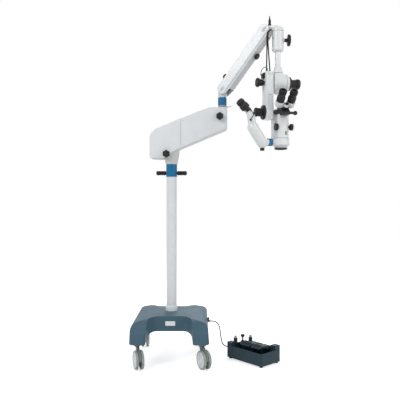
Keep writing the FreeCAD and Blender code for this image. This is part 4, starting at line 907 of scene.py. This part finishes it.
class MakeAssistant(bpy.types.Operator):
    """Assistant scope with its blue clamp ring, lever and eyepiece"""
    bl_idname = "microscope.make_assistant"
    bl_label = "Assistant scope"

    def execute(self, context):
        def on_clamp(p):
            return 0.0595 < (p - optical_axis).xy.length < 0.0865 and p.z < 1.234

        knob_top, tube_foot = 1.1765, 1.368
        dress("assistant_scope", body_white(), (ring_blue(), on_clamp),
              (knob_black(), lambda p: p.z < knob_top),
              (satin_black(), lambda p: p.z > tube_foot))
        dress("assistant_eyepiece", satin_black())
        outward = at(optical_x, optical_y, 0) @ turned(180 + assistant_turn, "Z")

        def point(out, height, aside=0.0):
            """Place in the scope's own plane, from the optical axis."""
            return head_frame @ outward @ Vector((out, aside, height))

        seat = point(0.204, 1.374)
        direction = (point(0.236, 1.402) - seat).normalized()

        def on_tube(reach):
            """Place on the eyepiece tube, past its seat."""
            return along(seat + direction * reach, direction)

        lathe("assistant_grip", band(0.0239, 0.0005, 0.0010, 0.0190), knob_black(), "assistant",
              on_tube(0.0195), 144, knurl(36, 0.0003))
        lathe("assistant_eyecup",
              [(0.0200, 0), (0.0222, 0.0010), (0.0223, 0.0100), (0.0205, 0.0150),
               (0.0182, 0.0170), (0.0150, 0.0165), (0.0131, 0.0130)],
              rubber(), "assistant", on_tube(0.0540), 64)
        lathe("assistant_lens",
              [(0.0129, 0), (0.0110, 0.0016), (0.0060, 0.0028), (0, 0.0032)],
              coated_glass(), "assistant", on_tube(0.0600), 48)
        boss = point(0.183, 1.358, 0.019)
        lathe("lever_boss", [(0.0070, 0), (0.0070, 0.0035), (0.0060, 0.0050), (0, 0.0052)],
              knob_black(), "assistant",
              along(boss, point(0.183, 1.358, 0.030) - boss), 32)
        start = point(0.164, 1.379, 0.0245)
        tip = point(0.204, 1.322, 0.0245)
        lever = along(start, tip - start)
        span = (tip - start).length
        bm = bmesh.new()
        add_lathe(bm, [(0, 0), (0.0018, 0.0002), (0.0018, span)], lever, 16)
        add_lathe(bm, [(0, span - 0.006), (0.0030, span - 0.0050), (0.0056, span - 0.0020),
                       (0.0060, span + 0.0010), (0.0050, span + 0.0045),
                       (0, span + 0.0065)], lever, 24)
        piece_from("assistant_lever", bm, knob_black(), "assistant")
        return {"FINISHED"}


# Foot control

class MakePedal(bpy.types.Operator):
    """Foot control: tray, ribbed treadles, buttons, joystick with its boot, and the cord"""
    bl_idname = "microscope.make_pedal"
    bl_label = "Foot control"

    def execute(self, context):
        foot_top = 0.0081
        dress("pedal_tray", tray_blue(), (rubber(), lambda p: p.z < foot_top))
        dress("left_treadle", tray_blue())
        dress("right_treadle", tray_blue())
        dress("pedal_button_front", button_grey())
        dress("pedal_button_rear", button_grey())
        dress("joystick_gimbal", knob_black())
        dress("joystick", knob_black())
        dress("cord_glands", knob_black())
        first_y, rib_step, rib_size = -0.050, 0.0062, 0.0022
        slope = (0.102 - 0.095) / 0.026
        for name, low, high, body in (("left", -0.048, 0.018, "treadle_l"),
                                      ("right", 0.034, 0.090, "treadle_r")):
            bm = bmesh.new()
            for index in range(settings("pedal").treadle_ribs):
                y = first_y + rib_step * index
                z = 0.0957 + (y + 0.056) * slope
                add_block(bm, (high - low - 0.008, rib_size, rib_size),
                          tray_frame @ at((low + high) / 2, y, z) @ turned(14, "X"), 0.0008)
            piece_from("treadle_ribs_" + name, bm, rubber(), body)
        for name, x, y in (("front", -0.112, -0.026), ("rear", -0.066, 0.050)):
            lathe("button_rim_" + name,
                  [(0.0114, 0), (0.0118, 0.0006), (0.0118, 0.0040), (0.0112, 0.0048),
                   (0.0104, 0.0048)], knob_black(), "stand",
                  tray_frame @ at(x, y, 0.1040), 40)
        lathe("joystick_boot",
              [(0.0146, 0.0780), (0.0150, 0.0800), (0.0132, 0.0820), (0.0136, 0.0842),
               (0.0112, 0.0862), (0.0114, 0.0884), (0.0088, 0.0905), (0.0088, 0.0925),
               (0.0062, 0.0945), (0.0046, 0.0970)],
              rubber(), "stick", tray_frame @ at(-0.086, 0.006, 0), 48)
        block("treadle_plate", (0.0180, 0.0070, 0.0006), plate_silver(), "treadle_r",
              tray_frame @ at(0.062, -0.0150, 0.1010) @ turned(-12, "X"), 0.0002)
        points = [(0.22792, 0.058, 0.186), (0.25392, 0.0573, 0.1856), (0.27462, 0.0517, 0.1677),
                  (0.2816, 0.0421, 0.1379), (0.285, 0.0299, 0.1063), (0.2898, 0.0165, 0.0777),
                  (0.29964, -0.00135, 0.058),
                  tuple(tray_frame @ Vector((-0.144, -0.060, 0.058)))]
        radius = settings("pedal").cord_radius
        cord = route_curve("pedal_lead", points, radius)
        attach(cord, "stand")
        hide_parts("pedal_cord")
        route_line(points)[1]
        return {"FINISHED"}


# Stage

class MakeStage(bpy.types.Operator):
    """Pale floor, soft studio lights, white surroundings and the camera"""
    bl_idname = "microscope.make_stage"
    bl_label = "Stage"

    def execute(self, context):
        scene = context.scene
        scene.view_settings.view_transform = "Standard"
        bm = bmesh.new()
        bmesh.ops.create_grid(bm, x_segments=1, y_segments=1, size=9.0)
        mesh = bpy.data.meshes.new("floor")
        bm.to_mesh(mesh)
        bm.free()
        floor = add_object("floor", mesh)
        floor.location = (0, 0, -0.0005)
        mesh.materials.append(self.floor_material())
        self.surroundings(scene)
        aim = Vector((0.25, 0, 0.95))
        for name, place, size, power in (("key", (-2.2, -2.6, 3.3), 1.8, 62),
                                         ("fill", (2.9, -1.8, 2.2), 2.2, 30),
                                         ("back", (0.6, 2.9, 2.9), 2.0, 34)):
            lamp = bpy.data.lights.new(name, "AREA")
            lamp.shape = "DISK"
            lamp.size = size
            lamp.energy = power
            light = add_object(name, lamp)
            light.location = place
            light.rotation_mode = "QUATERNION"
            light.rotation_quaternion = (Vector(place) - aim).to_track_quat("Z", "Y")
        view = bpy.data.cameras.new("camera")
        view.sensor_width = 36
        view.lens = 45.9
        view.shift_y = 0.0125
        camera = add_object("camera", view)
        camera.location = (0.164, -2.950, 0.870)
        camera.rotation_euler = (pi / 2, 0, 0)
        scene.camera = camera
        return {"FINISHED"}

    def seen_directly(self, tree):
        """Whether a ray comes from the camera, from gloss or through glass."""
        paths = tree.nodes.new("ShaderNodeLightPath").outputs
        gloss = add_node(tree, "Math", {0: paths["Is Glossy Ray"],
                                        1: paths["Is Transmission Ray"]}, operation="MAXIMUM")
        seen = add_node(tree, "Math", {0: paths["Is Camera Ray"], 1: gloss.outputs["Value"]},
                        operation="MAXIMUM")
        return seen.outputs["Value"]

    def floor_material(self):
        """Pale floor that keeps the object's shadow and shows white."""
        material = bpy.data.materials.new("studio_floor")
        material.use_nodes = True
        tree = material.node_tree
        shader = tree.nodes["Principled BSDF"]
        shader.inputs["Base Color"].default_value = (0.86, 0.86, 0.86, 1)
        shader.inputs["Roughness"].default_value = 0.8
        share = add_node(tree, "Math", {0: self.seen_directly(tree), 1: 0.62},
                         operation="MULTIPLY")
        dark = add_node(tree, "Emission", {"Strength": 0.0})
        glow = add_node(tree, "Emission", {"Color": (1, 1, 1, 1)})
        scaled = add_node(tree, "MixShader", {0: share.outputs["Value"], 1: dark.outputs[0],
                                              2: glow.outputs[0]})
        whole = add_node(tree, "AddShader", {0: shader.outputs[0], 1: scaled.outputs[0]})
        tree.links.new(whole.outputs[0], tree.nodes["Material Output"].inputs["Surface"])
        return material

    def surroundings(self, scene):
        """White for what the camera, gloss and glass see, and a soft grey for light."""
        world = bpy.data.worlds.new("surroundings")
        scene.world = world
        world.use_nodes = True
        tree = world.node_tree
        tree.nodes.clear()
        white = add_node(tree, "Background", {"Color": (1, 1, 1, 1)})
        soft = add_node(tree, "Background", {"Color": (0.94, 0.97, 1, 1), "Strength": 0.42})
        mix = add_node(tree, "MixShader", {0: self.seen_directly(tree), 1: soft.outputs[0],
                                           2: white.outputs[0]})
        add_node(tree, "OutputWorld", {"Surface": mix.outputs[0]})


class MicroscopePanel(bpy.types.Panel):
    """Pieces and settings of the microscope"""
    bl_idname = "VIEW3D_PT_microscope"
    bl_label = "Surgical microscope"
    bl_space_type = "VIEW_3D"
    bl_region_type = "UI"
    bl_category = "Microscope"

    def draw(self, context):
        for maker in makers:
            self.layout.operator(maker.bl_idname)
        for name, group in groups.items():
            box = self.layout.box()
            for key in group.__annotations__:
                box.prop(settings(name), key)


groups = {"stand": StandSettings, "head": HeadSettings, "pedal": PedalSettings}
makers = (MakeStage, MakeBase, MakeCasters, MakeColumn, MakeSwingArm, MakePost, MakeSpringArm,
          MakeCarrier, MakeDrive, MakeScope, MakeOculars, MakeAssistant, MakePedal)


def register():
    """Add the settings, operators and panel."""
    for name, group in groups.items():
        bpy.utils.register_class(group)
        setattr(bpy.types.Scene, "microscope_" + name, PointerProperty(type=group))
    for maker in makers:
        bpy.utils.register_class(maker)
    bpy.utils.register_class(MicroscopePanel)


def unregister():
    """Remove them again."""
    bpy.utils.unregister_class(MicroscopePanel)
    for maker in reversed(makers):
        bpy.utils.unregister_class(maker)
    for name, group in groups.items():
        delattr(bpy.types.Scene, "microscope_" + name)
        bpy.utils.unregister_class(group)


def main():
    """Make every piece."""
    register()
    for maker in makers:
        space, name = maker.bl_idname.split(".")
        getattr(getattr(bpy.ops, space), name)()


if __name__ == "__main__":
    main()
